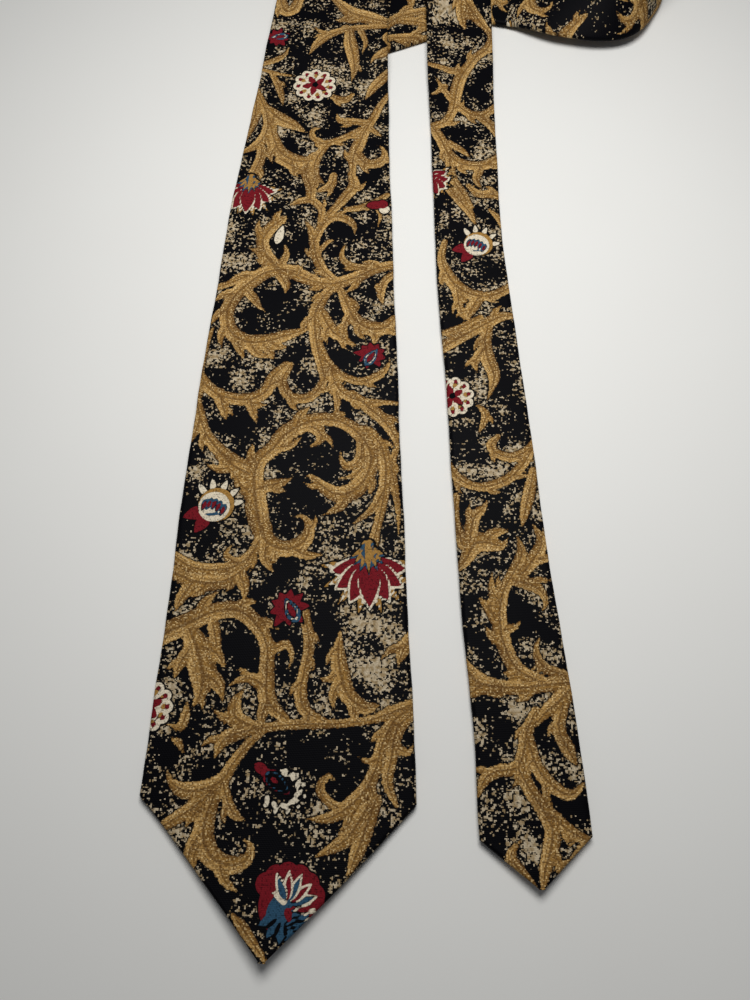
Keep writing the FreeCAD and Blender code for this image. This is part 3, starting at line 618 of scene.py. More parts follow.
    [(32, 374, 2.2), (27, 369, 1.7), (30, 362, 0.5)],
    [(-2, 331, 0.4), (2, 327, 1.8), (8, 325, 2.4), (12, 329, 1.2)],
]

NARROW_SCROLLS = [
    [(106, 43.5, 3), (95, 42.3, 2.8), (87, 41, 3), (79, 41, 2.8), (71, 42, 4), (66.5, 46.5, 3),
     (65.5, 51, 0.5)],
    [(93, 43.5, 2.6), (85.5, 47, 3), (81, 54, 3.1), (79, 62, 3.3), (79, 70, 2.7), (81, 78, 2.4),
     (85, 85, 2.6), (88, 92, 2.3), (86.5, 99, 0.5)],
    [(79, 63, 2.6), (74.5, 70, 2), (71, 74, 0.4)],
    [(79, 72, 2.4), (76, 78, 1.5), (76.5, 84, 0.4)],
    [(84, 81, 2), (90, 80, 2.7), (95, 77, 2), (96.5, 72, 1), (94, 69, 0.3)],
    [(102, 46, 2), (95, 48.5, 2.1), (92, 54, 1.5), (93.5, 60, 0.4)],
    [(88, 84, 2.4), (92.5, 90, 3), (96, 97, 2.4), (93, 104, 0.6)],
    [(81, 62, 2.4), (85, 63.5, 1.2), (87, 66, 0.3)],
    [(62, 83, 0.4), (66, 88.5, 2.5), (70, 95.5, 4), (75, 96, 3.8), (80, 95, 2), (83, 98, 0.4)],
    [(68, 98, 3), (69.5, 106, 2.8), (73, 110, 1.8), (75, 113.5, 0.4)],
    [(62.5, 115, 1.8), (62, 105, 2.2), (65, 95, 2.4)],
    [(59, 129, 2), (64, 122.5, 2.3), (71, 119.5, 2.1), (78, 120.5, 2.4), (84.5, 124, 2.3),
     (90, 130, 2.2), (94, 137, 1.8)],
    [(94, 127, 2), (92, 118, 2.7), (90, 110, 2.3), (88.5, 103, 0.5)],
    [(104, 41, 3), (99, 36, 3.4), (94, 32, 2.2), (90.5, 27.5, 0.6)],
    [(101, 36, 2.6), (99, 27, 2.6), (102, 20, 2.7), (104.5, 15, 0.8)],
    [(91, 33, 1.8), (87.5, 25.5, 2.6), (86, 18, 2.6), (83, 13, 2.5), (77, 12, 2.4), (72, 9, 2.2),
     (69.5, 3, 0.5)],
    [(87.5, 24, 2.4), (90.5, 14, 2.6), (96, 7.5, 2.5), (102, 5, 2), (107, 9, 0.7)],
    [(84, 13, 2.4), (88, 6, 2.7), (92, 0, 2.9), (95, -6.5, 3), (94, -13, 3), (92, -19, 2.3),
     (91, -25, 0.8)],
    [(94, -1, 2.4), (100, -6, 2.5), (106, -9, 1.7), (110, -9, 0.8)],
    [(106, -12, 2.5), (102, -16.5, 2.4), (98, -21, 0.8)],
    [(84, -10, 0.4), (80.5, -15, 2), (84, -20, 2), (89, -25, 1)],
    [(58, 240, 1.6), (56.5, 231, 2.1), (59, 222.5, 3), (63.5, 215.5, 3.5), (70, 211.5, 3),
     (78, 211, 2.6), (84.5, 214, 2.5), (90, 219, 1.8)],
    [(63.5, 214, 3), (64.5, 205, 2), (66.5, 198, 0.5)],
    [(73, 210, 3), (70, 204, 2.8), (68, 199.5, 1.5), (70.5, 196, 0.4)],
    [(56, 183, 3), (63, 188, 3.1), (70, 192.5, 3), (77, 197, 3), (83, 200.3, 2.6), (91, 201, 1.5)],
    [(58, 191, 1.8), (66, 194.5, 2), (74, 200, 1.4)],
    [(77, 196, 2.4), (75.5, 187, 3), (76.5, 179, 3.4), (79, 171, 3), (78, 165, 1.6), (76, 159, 0.4)],
    [(75, 184, 2.6), (71, 177, 2), (72, 172, 0.4)],
    [(71, 157, 0.5), (75, 152.5, 2), (74, 147.5, 1.6), (72, 143.5, 0.4)],
    [(80, 142, 1.4), (77, 138, 2.2), (80, 134, 2.2), (86.5, 133, 2.4), (92.5, 137, 1.9), (94, 141, 0.7)],
    [(60, 270, 2), (66, 262.5, 2.6), (70, 256, 2), (72.5, 249, 0.5)],
    [(88, 264, 2), (80.5, 268, 2.6), (74, 268, 2.4), (69, 273, 1.4)],
    [(79, 259, 1), (84, 252.5, 2.1), (86.5, 245, 2), (84.5, 238, 0.5)],
    [(51, 309, 2.4), (58, 312, 2.7), (61.5, 318.5, 2.6), (63, 326, 3), (64, 334, 3.4),
     (66, 342, 3.4), (70, 350, 3), (74.5, 357, 2.7), (80, 363, 2.7), (82, 371, 2.1),
     (79, 378, 2.2), (72.5, 384.5, 2.8), (67, 391.5, 3), (65, 400, 2.6)],
    [(50, 351, 1.6), (57, 348.5, 2), (62, 346.5, 2.5), (67, 347.5, 1.8)],
    [(53.5, 342, 0.4), (57, 334.5, 1.7), (61, 328, 2.2)],
    [(64.5, 323, 2.4), (71, 317.5, 2.7), (78, 318, 2.6), (84, 325, 1.4)],
    [(75, 317, 3), (80, 311.5, 2.6), (83, 304, 1)],
    [(52, 309, 2.6), (56.5, 300, 3), (59.5, 292.5, 3), (64.5, 287, 3), (71, 285, 3), (78, 286, 3),
     (85, 292, 2)],
    [(60, 299, 2), (66, 294.5, 1.9), (70.5, 290, 0.4)],
    [(60, 291, 2.4), (61.5, 278, 2.4), (66, 268.5, 2.6), (71, 260, 1)],
    [(75, 284, 2.6), (73, 276.5, 2), (75.5, 271, 0.4)],
    [(68, 398, 2), (66, 386, 3), (68.5, 377, 1)],
    [(58, 336, 2), (53, 331, 1.2), (50, 331.5, 0.3)],
]

# Where the cloth is plain dark (minus) or thick with sandy speckle (plus):
# x, y, radius, how much.
GROUND_POOLS = [
    (-18, 55, 12, -1), (-2, 46, 5, -0.6), (14, 50, 6, -0.8), (20, 15, 13, -1), (2, 14, 7, -0.6),
    (-45, 8, 9, -0.8), (-30, 18, 8, -0.5), (-3, -12, 8, -0.9), (-17, -30, 9, -0.9),
    (20, -24, 7, -0.8), (-12, 8, 6, -0.7), (36, 51, 7, 0.9), (28, 43, 6, 0.8), (-35, -14, 7, 0.7),
    (-44, 36, 5, 0.7), (38, 62, 7, 0.9), (22, 62, 6, 0.5), (-6, 20, 5, 0.5), (-25, 33, 6, 0.3),
    (-8, -14, 5, 0.4), (-12, 40, 4, 0.1), (-28, 145, 8, -0.9), (2, 128, 11, -1.1),
    (2, 108, 8, -1.1), (12, 138, 9, -0.9), (-15, 85, 5, -0.8), (-5, 77, 9, -0.6),
    (12, 60, 8, -1), (-46, 112, 6, -0.5), (-20, 100, 7, 0.6), (14, 96, 9, 0.6), (28, 112, 6, 0.5),
    (16, 78, 5, 0.6), (-30, 92, 7, 0.3), (0, 150, 4, 0.8), (-22, 165, 7, 0.6), (35, 165, 6, -0.8),
    (31, 128, 4, 0.2), (-10, 150, 4, 0.6), (20, 70, 5, 0.8), (30, 64, 7, 0.8), (-40, 122, 5, 0.4),
    (-15, 207, 11, -1), (-22, 196, 11, -0.9), (10, 199, 6, -0.7), (14, 178, 9, -0.9),
    (-10, 236, 8, -1.1), (8, 243, 9, -1.1), (20, 236, 8, -0.2), (25, 207, 7, -0.5),
    (-38, 240, 8, 0.8), (-33, 225, 7, 0.5), (-30, 172, 9, 0.1), (-40, 181, 5, 0.6),
    (-2, 172, 5, 0.5), (24, 250, 7, 0.3), (-5, 255, 6, 0.7), (-14, 270, 7, -0.9), (22, 272, 8, -0.9),
    (3, 282, 6, -0.8), (30, 183, 5, 0.2), (22, 178, 5, -0.3), (-44, 203, 4, -0.5),
    (-5, 298, 5, 0.2), (24, 297, 5, -0.9), (0, 316, 8, -0.7), (-12, 322, 9, -0.3), (27, 312, 5, -0.9),
    (-30, 330, 5, -0.3), (-17, 360, 10, -0.9), (-3, 383, 7, -0.9), (-27, 364, 6, -0.5), (20, 368, 6, -0.7),
    (16, 340, 7, 0.3), (8, 335, 5, 0.5), (-5, 308, 6, 0.2), (8, 290, 6, 0.5), (-34, 310, 5, 0.3),
    (-20, 296, 5, 0.1), (10, 320, 6, 0.1), (-25, 345, 5, 0.2), (3, 360, 5, -0.2),
    (88, 67, 9, -1.1), (70, 63, 7, -1), (74, 28, 8, -0.1), (98, 18, 6, -0.6), (99, -1, 7, -1.1),
    (75, -4, 8, 0.4), (80, 3, 5, 0.3), (78, 108, 6, -1), (97, 88, 5, -0.9), (72, 86, 5, 0.9),
    (86, 112, 5, 0.6), (67, 118, 5, 0.2), (80, 128, 5, 0.6), (66, 137, 7, -0.8), (90, 150, 6, -0.7),
    (85, 136, 4, 0.9), (82, 160, 6, -0.2), (66, 178, 6, -0.7), (86, 185, 6, -0.5), (60, 200, 6, -1),
    (78, 222, 8, -0.8), (83, 232, 6, 0), (62, 245, 6, 0), (70, 253, 5, 0.4), (60, 260, 4, -0.4),
    (78, 240, 4, 0.4), (75, 333, 7, -1), (70, 300, 7, -0.6), (55, 325, 6, -0.8), (53, 296, 4, -0.9),
    (75, 292, 4, 0.8), (56, 375, 7, 0.7), (60, 365, 6, 0.3), (80, 345, 5, -0.8), (78, 388, 5, -0.6),
    (57, 388, 6, 0.8), (78, 275, 6, -0.6), (90, -14, 4, 0.5), (80, 305, 4, 0.6), (54, 358, 4, 0.5),
]


def smooth_line(knots, spacing=0.9):
    """A curve through given knots, sampled evenly enough for distances."""
    knots = np.array(knots, float)
    ends = np.vstack([2 * knots[0] - knots[1], knots, 2 * knots[-1] - knots[-2]])
    out = []
    for a, b, c, d in zip(ends, ends[1:], ends[2:], ends[3:]):
        count = max(2, int(np.linalg.norm(c[:2] - b[:2]) / spacing))
        x = np.linspace(0, 1, count, endpoint=False)[:, None]
        out.append(0.5 * (2 * b + (c - a) * x + (2 * a - 5 * b + 4 * c - d) * x**2
                          + (3 * b - a - 3 * c + d) * x**3))
    line = np.vstack(out + [knots[-1:]])
    line[:, 2] = np.maximum(line[:, 2], 0.2)
    return line


def leaf_tips(line, rng):
    """Small pointed lobes that stand off the outside of a curling stroke."""
    tips = []
    steps = np.linalg.norm(np.diff(line[:, :2], axis=0), axis=1)
    run = np.concatenate([[0.0], np.cumsum(steps)])
    place = 7.0
    while place < run[-1] - 5.0:
        i = int(np.searchsorted(run, place))
        width = line[i, 2]
        ahead = line[min(i + 3, len(line) - 1), :2] - line[max(i - 3, 0), :2]
        ahead /= np.linalg.norm(ahead) + 1e-9
        bend = line[min(i + 8, len(line) - 1), :2] + line[max(i - 8, 0), :2] - 2 * line[i, :2]
        side = np.array([-ahead[1], ahead[0]])
        if side.dot(bend) > 0:
            side = -side
        if width > 2.0 and np.linalg.norm(bend) > 0.8:
            root = line[i, :2] + side * width * 0.2
            reach = width * rng.uniform(1.7, 2.6)
            middle = root + side * reach * 0.45 + ahead * reach * 0.45
            tip = root + side * reach * 0.62 + ahead * reach * 1.15
            tips.append([(*root, width * 0.8), (*middle, width * 0.55), (*tip, 0.2)])
        place += rng.uniform(8.0, 14.0)
    return tips


def all_strokes():
    rng = np.random.default_rng(7)
    strokes = [smooth_line(s) for s in WIDE_SCROLLS + NARROW_SCROLLS]
    lobes = []
    for line in strokes:
        lobes += [smooth_line(tip, 0.7) for tip in leaf_tips(line, rng)]
    return strokes + lobes


STROKES = all_strokes()


def nearest_on(line, x, y):
    """Distance from points to a sampled line, the width there and the side they are on."""
    ax, ay, aw = line[:-1, 0], line[:-1, 1], line[:-1, 2]
    dx, dy, dw = np.diff(line[:, 0]), np.diff(line[:, 1]), np.diff(line[:, 2])
    length = dx**2 + dy**2 + 1e-9
    px, py = x[:, None] - ax, y[:, None] - ay
    t = np.clip((px * dx + py * dy) / length, 0, 1)
    qx, qy = px - t * dx, py - t * dy
    distance = np.hypot(qx, qy)
    width = aw + t * dw
    best = np.argmin(distance - width, axis=1)
    rows = np.arange(len(x))
    cross = dx[best] * qy[rows, best] - dy[best] * qx[rows, best]
    return distance[rows, best], width[rows, best], np.sign(cross)


def scroll_fields(x, y):
    """Gold depth (mm inside the nearest leaf, minus outside) and place across the leaf."""
    depth = np.full(len(x), -6.0)
    side = np.zeros(len(x))
    for line in STROKES:
        margin = 6.0 + line[:, 2].max()
        low, high = line[:, :2].min(0) - margin, line[:, :2].max(0) + margin
        near = np.nonzero((x > low[0]) & (x < high[0]) & (y > low[1]) & (y < high[1]))[0]
        if not len(near):
            continue
        distance, width, sign = nearest_on(line, x[near], y[near])
        inside = width - distance
        better = inside > depth[near]
        chosen = near[better]
        depth[chosen] = inside[better]
        side[chosen] = (sign * distance / np.maximum(width, 0.6))[better]
    return depth, np.clip(side, -2.0, 2.0)


def ground_field(x, y):
    """How thick the speckle is, from the pools round a point."""
    field = np.zeros(len(x))
    for px, py, radius, amount in GROUND_POOLS:
        away = ((x - px) ** 2 + (y - py) ** 2) / radius**2
        field += amount * np.exp(-away * 1.1)
    return np.clip(field, -1.2, 1.2)


# ---- flowers -------------------------------------------------------------------------
# A flower is painted in layers. Each layer has a colour number and a signed distance,
# positive inside. The last layer that holds a point wins.

CREAM, RED, BLUE, SAND, DARK = 1, 2, 3, 4, 5


def petal(x, y, angle, start, length, width, sharp=1.0):
    """Distance inside a pointed petal that leaves the middle at an angle."""
    c, s = math.cos(angle), math.sin(angle)
    along = x * c + y * s - start
    across = -x * s + y * c
    t = np.clip(along / length, 0.0, 1.0)
    half = width * np.sin(math.pi * t**0.8) ** 0.8 * (1 - 0.25 * sharp * t)
    inside = half - np.abs(across)
    ends = np.minimum(along, length - along)
    return np.minimum(inside, ends)


def ball(x, y, cx, cy, radius):
    """Distance inside a round dot."""
    return radius - np.hypot(x - cx, y - cy)


def lotus(x, y):
    """Hanging open flower: red pointed petals with pale rims under a fan of leaves."""
    layers = []
    for k in range(-4, 4):
        angle = -math.pi / 2 + (k + 0.5) * 0.46
        layers.append((SAND, petal(x, y, angle, 4.0, 15.0, 2.3)))
        layers.append((CREAM, petal(x, y, angle, 4.0, 13.8, 1.7)))
        layers.append((SAND, petal(x, y, angle, 4.0, 12.6, 0.9)))
    for k in (-3, 3, -2, 2, -1, 1, 0):
        angle = -math.pi / 2 + k * 0.49
        length = 17.4 - abs(k) * 0.6
        layers.append((CREAM, petal(x, y, angle, 0.0, length, 4.9)))
        layers.append((RED, petal(x, y, angle, -0.4, length - 1.0, 4.2)))
    for k in (-3, 3, -2, 2, -1, 1, 0):
        angle = -math.pi / 2 + k * 0.34
        layers.append((BLUE, petal(x, y - 7.5, angle, -3.0, 14.5 - abs(k), 1.9)))
        layers.append((SAND, petal(x, y - 8.0, angle, -3.0, 13.9 - abs(k), 1.3)))
    return layers


def dotted_flower(x, y):
    """Fringed cream flower with dots and rays round a red bud."""
    layers = []
    for k in range(11):
        a = k * 2 * math.pi / 11
        layers.append((CREAM, ball(x, y, 7.4 * math.cos(a), 7.4 * math.sin(a), 2.3)))
        layers.append((RED, ball(x, y, 7.4 * math.cos(a), 7.4 * math.sin(a), 1.0)))
    layers.append((SAND, ball(x, y, 0, 0, 6.6)))
    for k in range(11):
        layers.append((CREAM, petal(x, y, (k + 0.5) * 2 * math.pi / 11, 2.0, 5.6, 1.0)))
    for k in range(5):
        a = k * 2 * math.pi / 5 + 0.4
        layers.append((CREAM, petal(x, y, a, 0.4, 6.6, 2.4)))
        layers.append((RED, petal(x, y, a, 0.4, 5.8, 1.7)))
    layers.append((DARK, ball(x, y, 0.3, 0.2, 1.4)))
    return layers


def rosette(x, y):
    """Round cream bud with blue drops, pale rays above and a red wing below."""
    layers = []
    for k in range(5):
        layers.append((CREAM, petal(x, y, math.pi / 2 - 0.35 + (k - 2) * 0.5, 6.0, 6.4, 1.4)))
    layers.append((SAND, ball(x, y, 0.8, 0.8, 7.2)))
    for angle in (-2.75, -2.1):
        layers.append((RED, petal(x, y, angle, 4.0, 9.0, 3.0)))
    layers.append((CREAM, ball(x, y, 0, 0, 6.3)))
    for k in range(5):
        cx, cy = -3.9 + k * 1.9, 0.9 + 1.3 * math.cos((k - 2) * 0.8) - 0.5 * k
        layers.append((BLUE, petal(x - cx, y - cy, -1.9, -2.6, 5.8, 1.5)))
        layers.append((RED, petal(x - cx, y - cy, -1.9, -1.4, 3.8, 0.8)))
    layers.append((BLUE, petal(x + 3.8, y + 3.6, 0.1, 0.0, 7.6, 0.7)))
    return layers


def drop_flower(x, y):
    """Toothed red leaf with a blue and cream drop in it."""
    layers = [(RED, ball(x, y, 0, 0, 4.6))]
    for k, reach in enumerate((9.0, 8.0, 7.4, 7.0, 7.0, 7.6, 9.4, 7.8, 9.0)):
        layers.append((RED, petal(x, y, 0.1 + k * 0.68, 0.0, reach, 2.2)))
    layers.append((BLUE, petal(x - 4.4, y + 6.0, 2.1, 0.0, 11.6, 3.4)))
    layers.append((CREAM, petal(x - 3.9, y + 5.2, 2.1, 0.0, 9.8, 2.5)))
    layers.append((BLUE, petal(x - 3.5, y + 4.6, 2.1, 0.0, 8.4, 1.9)))
    layers.append((RED, petal(x - 3.1, y + 4.0, 2.1, 0.0, 7.0, 1.3)))
    return layers


def dark_drop(x, y):
    """Small dark drop with a broken cream rim, on a red fleck."""
    layers = [(RED, petal(x + 5.0, y - 4.0, -0.55, -3.0, 7.0, 2.0))]
    for k in range(8):
        a = 1.5 - k * 0.56
        cx, cy = 2.5 + 6.2 * math.cos(a), -2.6 + 5.6 * math.sin(a)
        layers.append((CREAM, petal(x - cx, y - cy, a + 0.9, -2.0, 4.2, 0.95)))
        layers.append((CREAM, ball(x, y, cx * 1.25, cy * 1.25, 0.7)))
    layers.append((RED, petal(x + 4.5, y - 3.6, -0.65, 0.0, 13.0, 3.3)))
    layers.append((BLUE, petal(x + 3.5, y - 3.0, -0.65, 0.0, 11.6, 2.8)))
    layers.append((DARK, petal(x + 2.8, y - 2.4, -0.65, 0.0, 9.6, 2.1)))
    layers.append((RED, petal(x + 1.6, y - 1.4, -0.65, 0.0, 4.0, 0.9)))
    return layers


def wheel_flower(x, y):
    """Large half-open flower near the point: red rim, cream teeth, blue heart."""
    layers = []
    for k in range(8):
        a = -0.5 + k * 0.42
        layers.append((RED, ball(x, y, 9.6 * math.cos(a), 9.6 * math.sin(a), 3.6)))
    layers.append((RED, ball(x, y, 0, 0, 9.4)))
    layers.append((BLUE, ball(x, y, 0.5, -3.0, 7.2)))
    for k in range(7):
        a = -0.55 + k * 0.42
        layers.append((CREAM, petal(x, y, a, 1.5, 9.4, 2.0)))
        layers.append((RED if k % 2 else BLUE, petal(x, y, a, 1.5, 8.0, 1.2)))
    for k in range(5):
        a = -0.7 - k * 0.5
        layers.append((BLUE, petal(x + 0.5, y + 2.0, a, 0.0, 9.4, 2.4)))
        layers.append((DARK, petal(x + 0.5, y + 2.0, a + 0.25, 3.0, 6.0, 0.8)))
    layers.append((RED, petal(x, y, -1.3, 0.5, 5.0, 1.4)))
    layers.append((CREAM, petal(x, y, 2.5, 0.0, 7.0, 0.9)))
    return layers


def pale_leaf(x, y):
    """One slim cream leaf."""
    return [(CREAM, petal(x, y, 1.35, -5.0, 11.0, 2.2))]


def bud(x, y):
    """Red bud with a cream ball under it."""
    return [(CREAM, ball(x, y, 3.0, -2.6, 2.6)), (RED, petal(x, y, 0.1, -6.0, 11.0, 2.6)),
            (RED, ball(x, y, 2.0, 0.4, 2.6))]


# Shape, x, y, turn in radians, scale.
FLOWERS = [
    (lotus, 28.6, 85.0, 0.06, 1.0), (lotus, -34.5, 267.5, -0.03, 0.86),
    (dotted_flower, -7.5, 334.5, 0.4, 1.12), (dotted_flower, -49.5, 30.0, 0.0, 0.95),
    (dotted_flower, 61.0, 160.0, 0.2, 0.98), (rosette, -33.8, 107.5, 0.0, 1.0),
    (rosette, 72.6, 238.5, -0.1, 0.92), (drop_flower, -1.5, 68.0, 0.0, 0.96),
    (drop_flower, 26.5, 179.5, -1.1, 0.85), (dark_drop, -1.5, 6.0, 0.0, 1.0),
    (wheel_flower, 5.5, -32.5, 0.0, 1.0), (pale_leaf, -18.0, 241.0, 0.0, 1.0),
    (bud, 27.0, 260.0, 0.0, 0.95), (drop_flower, -29.0, 367.0, 1.2, 0.8),
    (lotus, 49.5, 277.0, 0.5, 0.7),
]
FLOWER_REACH = 24.0
# The drawing covers this stretch of y, and repeats up and down past it.
DRAWN_LOW = -60.0
DRAWN_HIGH = 396.0


def flower_fields(x, y):
    """For each colour, how far inside it a point is; minus where another colour is on top."""
    fields = {c: np.full(len(x), -3.0) for c in (CREAM, RED, BLUE, SAND, DARK)}
    cover = np.full(len(x), -3.0)
    for shape, cx, cy, turn, scale in FLOWERS:
        reach = FLOWER_REACH * scale
        near = np.nonzero((abs(x - cx) < reach) & (abs(y - cy) < reach))[0]
        if not len(near):
            continue
        c, s = math.cos(turn), math.sin(turn)
        dx, dy = (x[near] - cx) / scale, (y[near] - cy) / scale
        px, py = dx * c + dy * s, -dx * s + dy * c
        for colour, inside in shape(px, py):
            inside = inside * scale
            for other, field in fields.items():
                if other == colour:
                    field[near] = np.maximum(field[near], inside)
                else:
                    field[near] = np.minimum(field[near], -inside)
            cover[near] = np.maximum(cover[near], inside)
    return fields, cover


def seen_place(points):
    """Cloth coordinates of raised points: where the camera sees them against the table."""
    foot = np.array(CAMERA_FOOT)
    rise = CAMERA_HEIGHT / (CAMERA_HEIGHT - np.clip(points[:, 2], 0, 20.0))
    return foot + (points[:, :2] - foot) * rise[:, None]


def there_and_back(value, low=DRAWN_LOW, high=DRAWN_HIGH):
    """Runs a coordinate up and down between two values, with no jump."""
    span = high - low
    phase = np.mod(value - low, 2 * span)
    return low + np.where(phase > span, 2 * span - phase, phase)


def paint(piece, x, y):
    """Store the pattern on a mesh, from cloth coordinates x and y of its points."""
    depth, side = scroll_fields(x, y)
    fields, cover = flower_fields(x, y)
    set_attribute(piece, "cloth", np.stack([x, y, np.zeros_like(x)], axis=1))
    set_attribute(piece, "leaf", np.stack([depth, side, ground_field(x, y)], axis=1))
    set_attribute(piece, "bloom", np.stack([fields[CREAM], fields[RED], fields[BLUE]], axis=1))
    set_attribute(piece, "bloom_more", np.stack([fields[SAND], fields[DARK], cover], axis=1))

# =====================================================================================
# Materials
# =====================================================================================

NAVY = (0.0022, 0.0022, 0.0032, 1)
KHAKI = (0.500, 0.415, 0.285, 1)
KHAKI_WARM = (0.300, 0.215, 0.110, 1)
GOLD = (0.350, 0.190, 0.048, 1)
GOLD_LIGHT = (0.520, 0.315, 0.105, 1)
GOLD_GLINT = (0.900, 0.680, 0.340, 1)
GOLD_DARK = (0.085, 0.036, 0.010, 1)
PETAL_RED = (0.165, 0.0095, 0.0150, 1)
PETAL_CREAM = (0.700, 0.620, 0.470, 1)
PETAL_BLUE = (0.026, 0.075, 0.130, 1)
LINING = (0.012, 0.013, 0.020, 1)
LINING_SHEEN = (0.045, 0.048, 0.066, 1)
WOOL = (0.62, 0.58, 0.50, 1)
THREAD_DARK = (0.020, 0.021, 0.030, 1)
LABEL_GROUND = (0.020, 0.022, 0.034, 1)
LABEL_RIM = (0.360, 0.240, 0.095, 1)
TABLE = (0.800, 0.803, 0.775, 1)
TABLE_WORN = (0.785, 0.783, 0.755, 1)
WOOL_LIGHT = (0.72, 0.69, 0.62, 1)
THREAD_LIGHT = (0.070, 0.072, 0.090, 1)
WRONG_SIDE = (0.030, 0.028, 0.030, 1)


class Tree:
    """Short words for wiring one material's shader nodes."""

    def __init__(self, name):
        self.material = bpy.data.materials.new(name)
        self.material.use_nodes = True
        self.nodes = self.material.node_tree.nodes
        self.links = self.material.node_tree.links
        self.skin = self.nodes["Principled BSDF"]

    def put(self, socket, value):
        if isinstance(value, bpy.types.NodeSocket):
            self.links.new(value, socket)
        else:
            socket.default_value = value

    def calc(self, operation, *values):
        node = self.nodes.new("ShaderNodeMath")
        node.operation = operation
        for socket, value in zip(node.inputs, values):
            self.put(socket, value)
        return node.outputs[0]

    def step(self, value, low, high):
        """0 below low, 1 above high."""
        node = self.nodes.new("ShaderNodeMapRange")
        self.put(node.inputs["Value"], value)
        node.inputs["From Min"].default_value = low
        node.inputs["From Max"].default_value = high
        return node.outputs[0]

    def noise(self, vector, size, detail=1.0, roughness=0.5):
        """Noise with grains of a size in the vector's own units."""
        node = self.nodes.new("ShaderNodeTexNoise")
        self.put(node.inputs["Vector"], vector)
        node.inputs["Scale"].default_value = 1.0 / size
        node.inputs["Detail"].default_value = detail
        node.inputs["Roughness"].default_value = roughness
        return node.outputs["Fac"]

    def mix(self, amount, a, b):
        node = self.nodes.new("ShaderNodeMix")
        node.data_type = "RGBA"
        for index, value in ((0, amount), (6, a), (7, b)):
            self.put(node.inputs[index], value)
        return node.outputs[2]

    def attribute(self, name):
        node = self.nodes.new("ShaderNodeAttribute")
        node.attribute_name = name
        return node.outputs["Vector"]

    def parts(self, vector):
        node = self.nodes.new("ShaderNodeSeparateXYZ")
        self.put(node.inputs[0], vector)
        return node.outputs[0], node.outputs[1], node.outputs[2]

    def snapped(self, vector, cell):
        node = self.nodes.new("ShaderNodeVectorMath")
        node.operation = "SNAP"
        self.put(node.inputs[0], vector)
        node.inputs[1].default_value = cell
        return node.outputs[0]

    def scaled(self, vector, amount):
        node = self.nodes.new("ShaderNodeVectorMath")
        node.operation = "SCALE"
        self.put(node.inputs[0], vector)
        self.put(node.inputs["Scale"], amount)
        return node.outputs[0]

    def place_in_mm(self):
        return self.scaled(self.nodes.new("ShaderNodeTexCoord").outputs["Object"], 1 / MM)

    def bump(self, height, distance_mm, strength):
        node = self.nodes.new("ShaderNodeBump")
        self.put(node.inputs["Height"], height)
        node.inputs["Distance"].default_value = distance_mm * MM
        node.inputs["Strength"].default_value = strength
        self.put(self.skin.inputs["Normal"], node.outputs[0])

    def finish(self, colour, roughness, sheen=0.0, specular=0.35):
        self.put(self.skin.inputs["Base Color"], colour)
        self.put(self.skin.inputs["Roughness"], roughness)
        self.skin.inputs["Sheen Weight"].default_value = sheen
        self.skin.inputs["Sheen Roughness"].default_value = 0.4
        self.skin.inputs["Specular IOR Level"].default_value = specular
        return self.material


def ribs(t, vector, across_mm, along_mm):
    """Height of a ribbed weave: rows of short floats, staggered from row to row."""
    x, y, _ = t.parts(vector)
    row = t.calc("SINE", t.calc("MULTIPLY", y, 2 * math.pi / along_mm))
    shifted = t.calc("ADD", x, t.calc("MULTIPLY", y, 0.5 * across_mm / along_mm))
    float_ = t.calc("SINE", t.calc("MULTIPLY", shifted, 2 * math.pi / across_mm))
    return t.calc("MULTIPLY_ADD", row, 0.6, t.calc("MULTIPLY", float_, 0.4))


def speckled_ground(t, cloth, woven, ground, frayed_depth):
    """Sandy speckle in drifts on the dark ground, kept off the leaves."""
    drift = t.calc("MULTIPLY_ADD", t.noise(cloth, 10.0, 2.0), 0.74, -0.37)
    pools = t.calc("MULTIPLY_ADD", ground, 0.105, drift)
    speck = t.calc("ADD", t.noise(woven, 1.35, 2.0, 0.65), pools)
    speck = t.step(speck, 0.562, 0.582)
    speck = t.calc("MULTIPLY", speck, t.step(frayed_depth, -0.15, -0.50))
    warm = t.step(t.noise(woven, 1.8), 0.42, 0.60)
    return speck, t.mix(speck, NAVY, t.mix(warm, KHAKI, KHAKI_WARM))


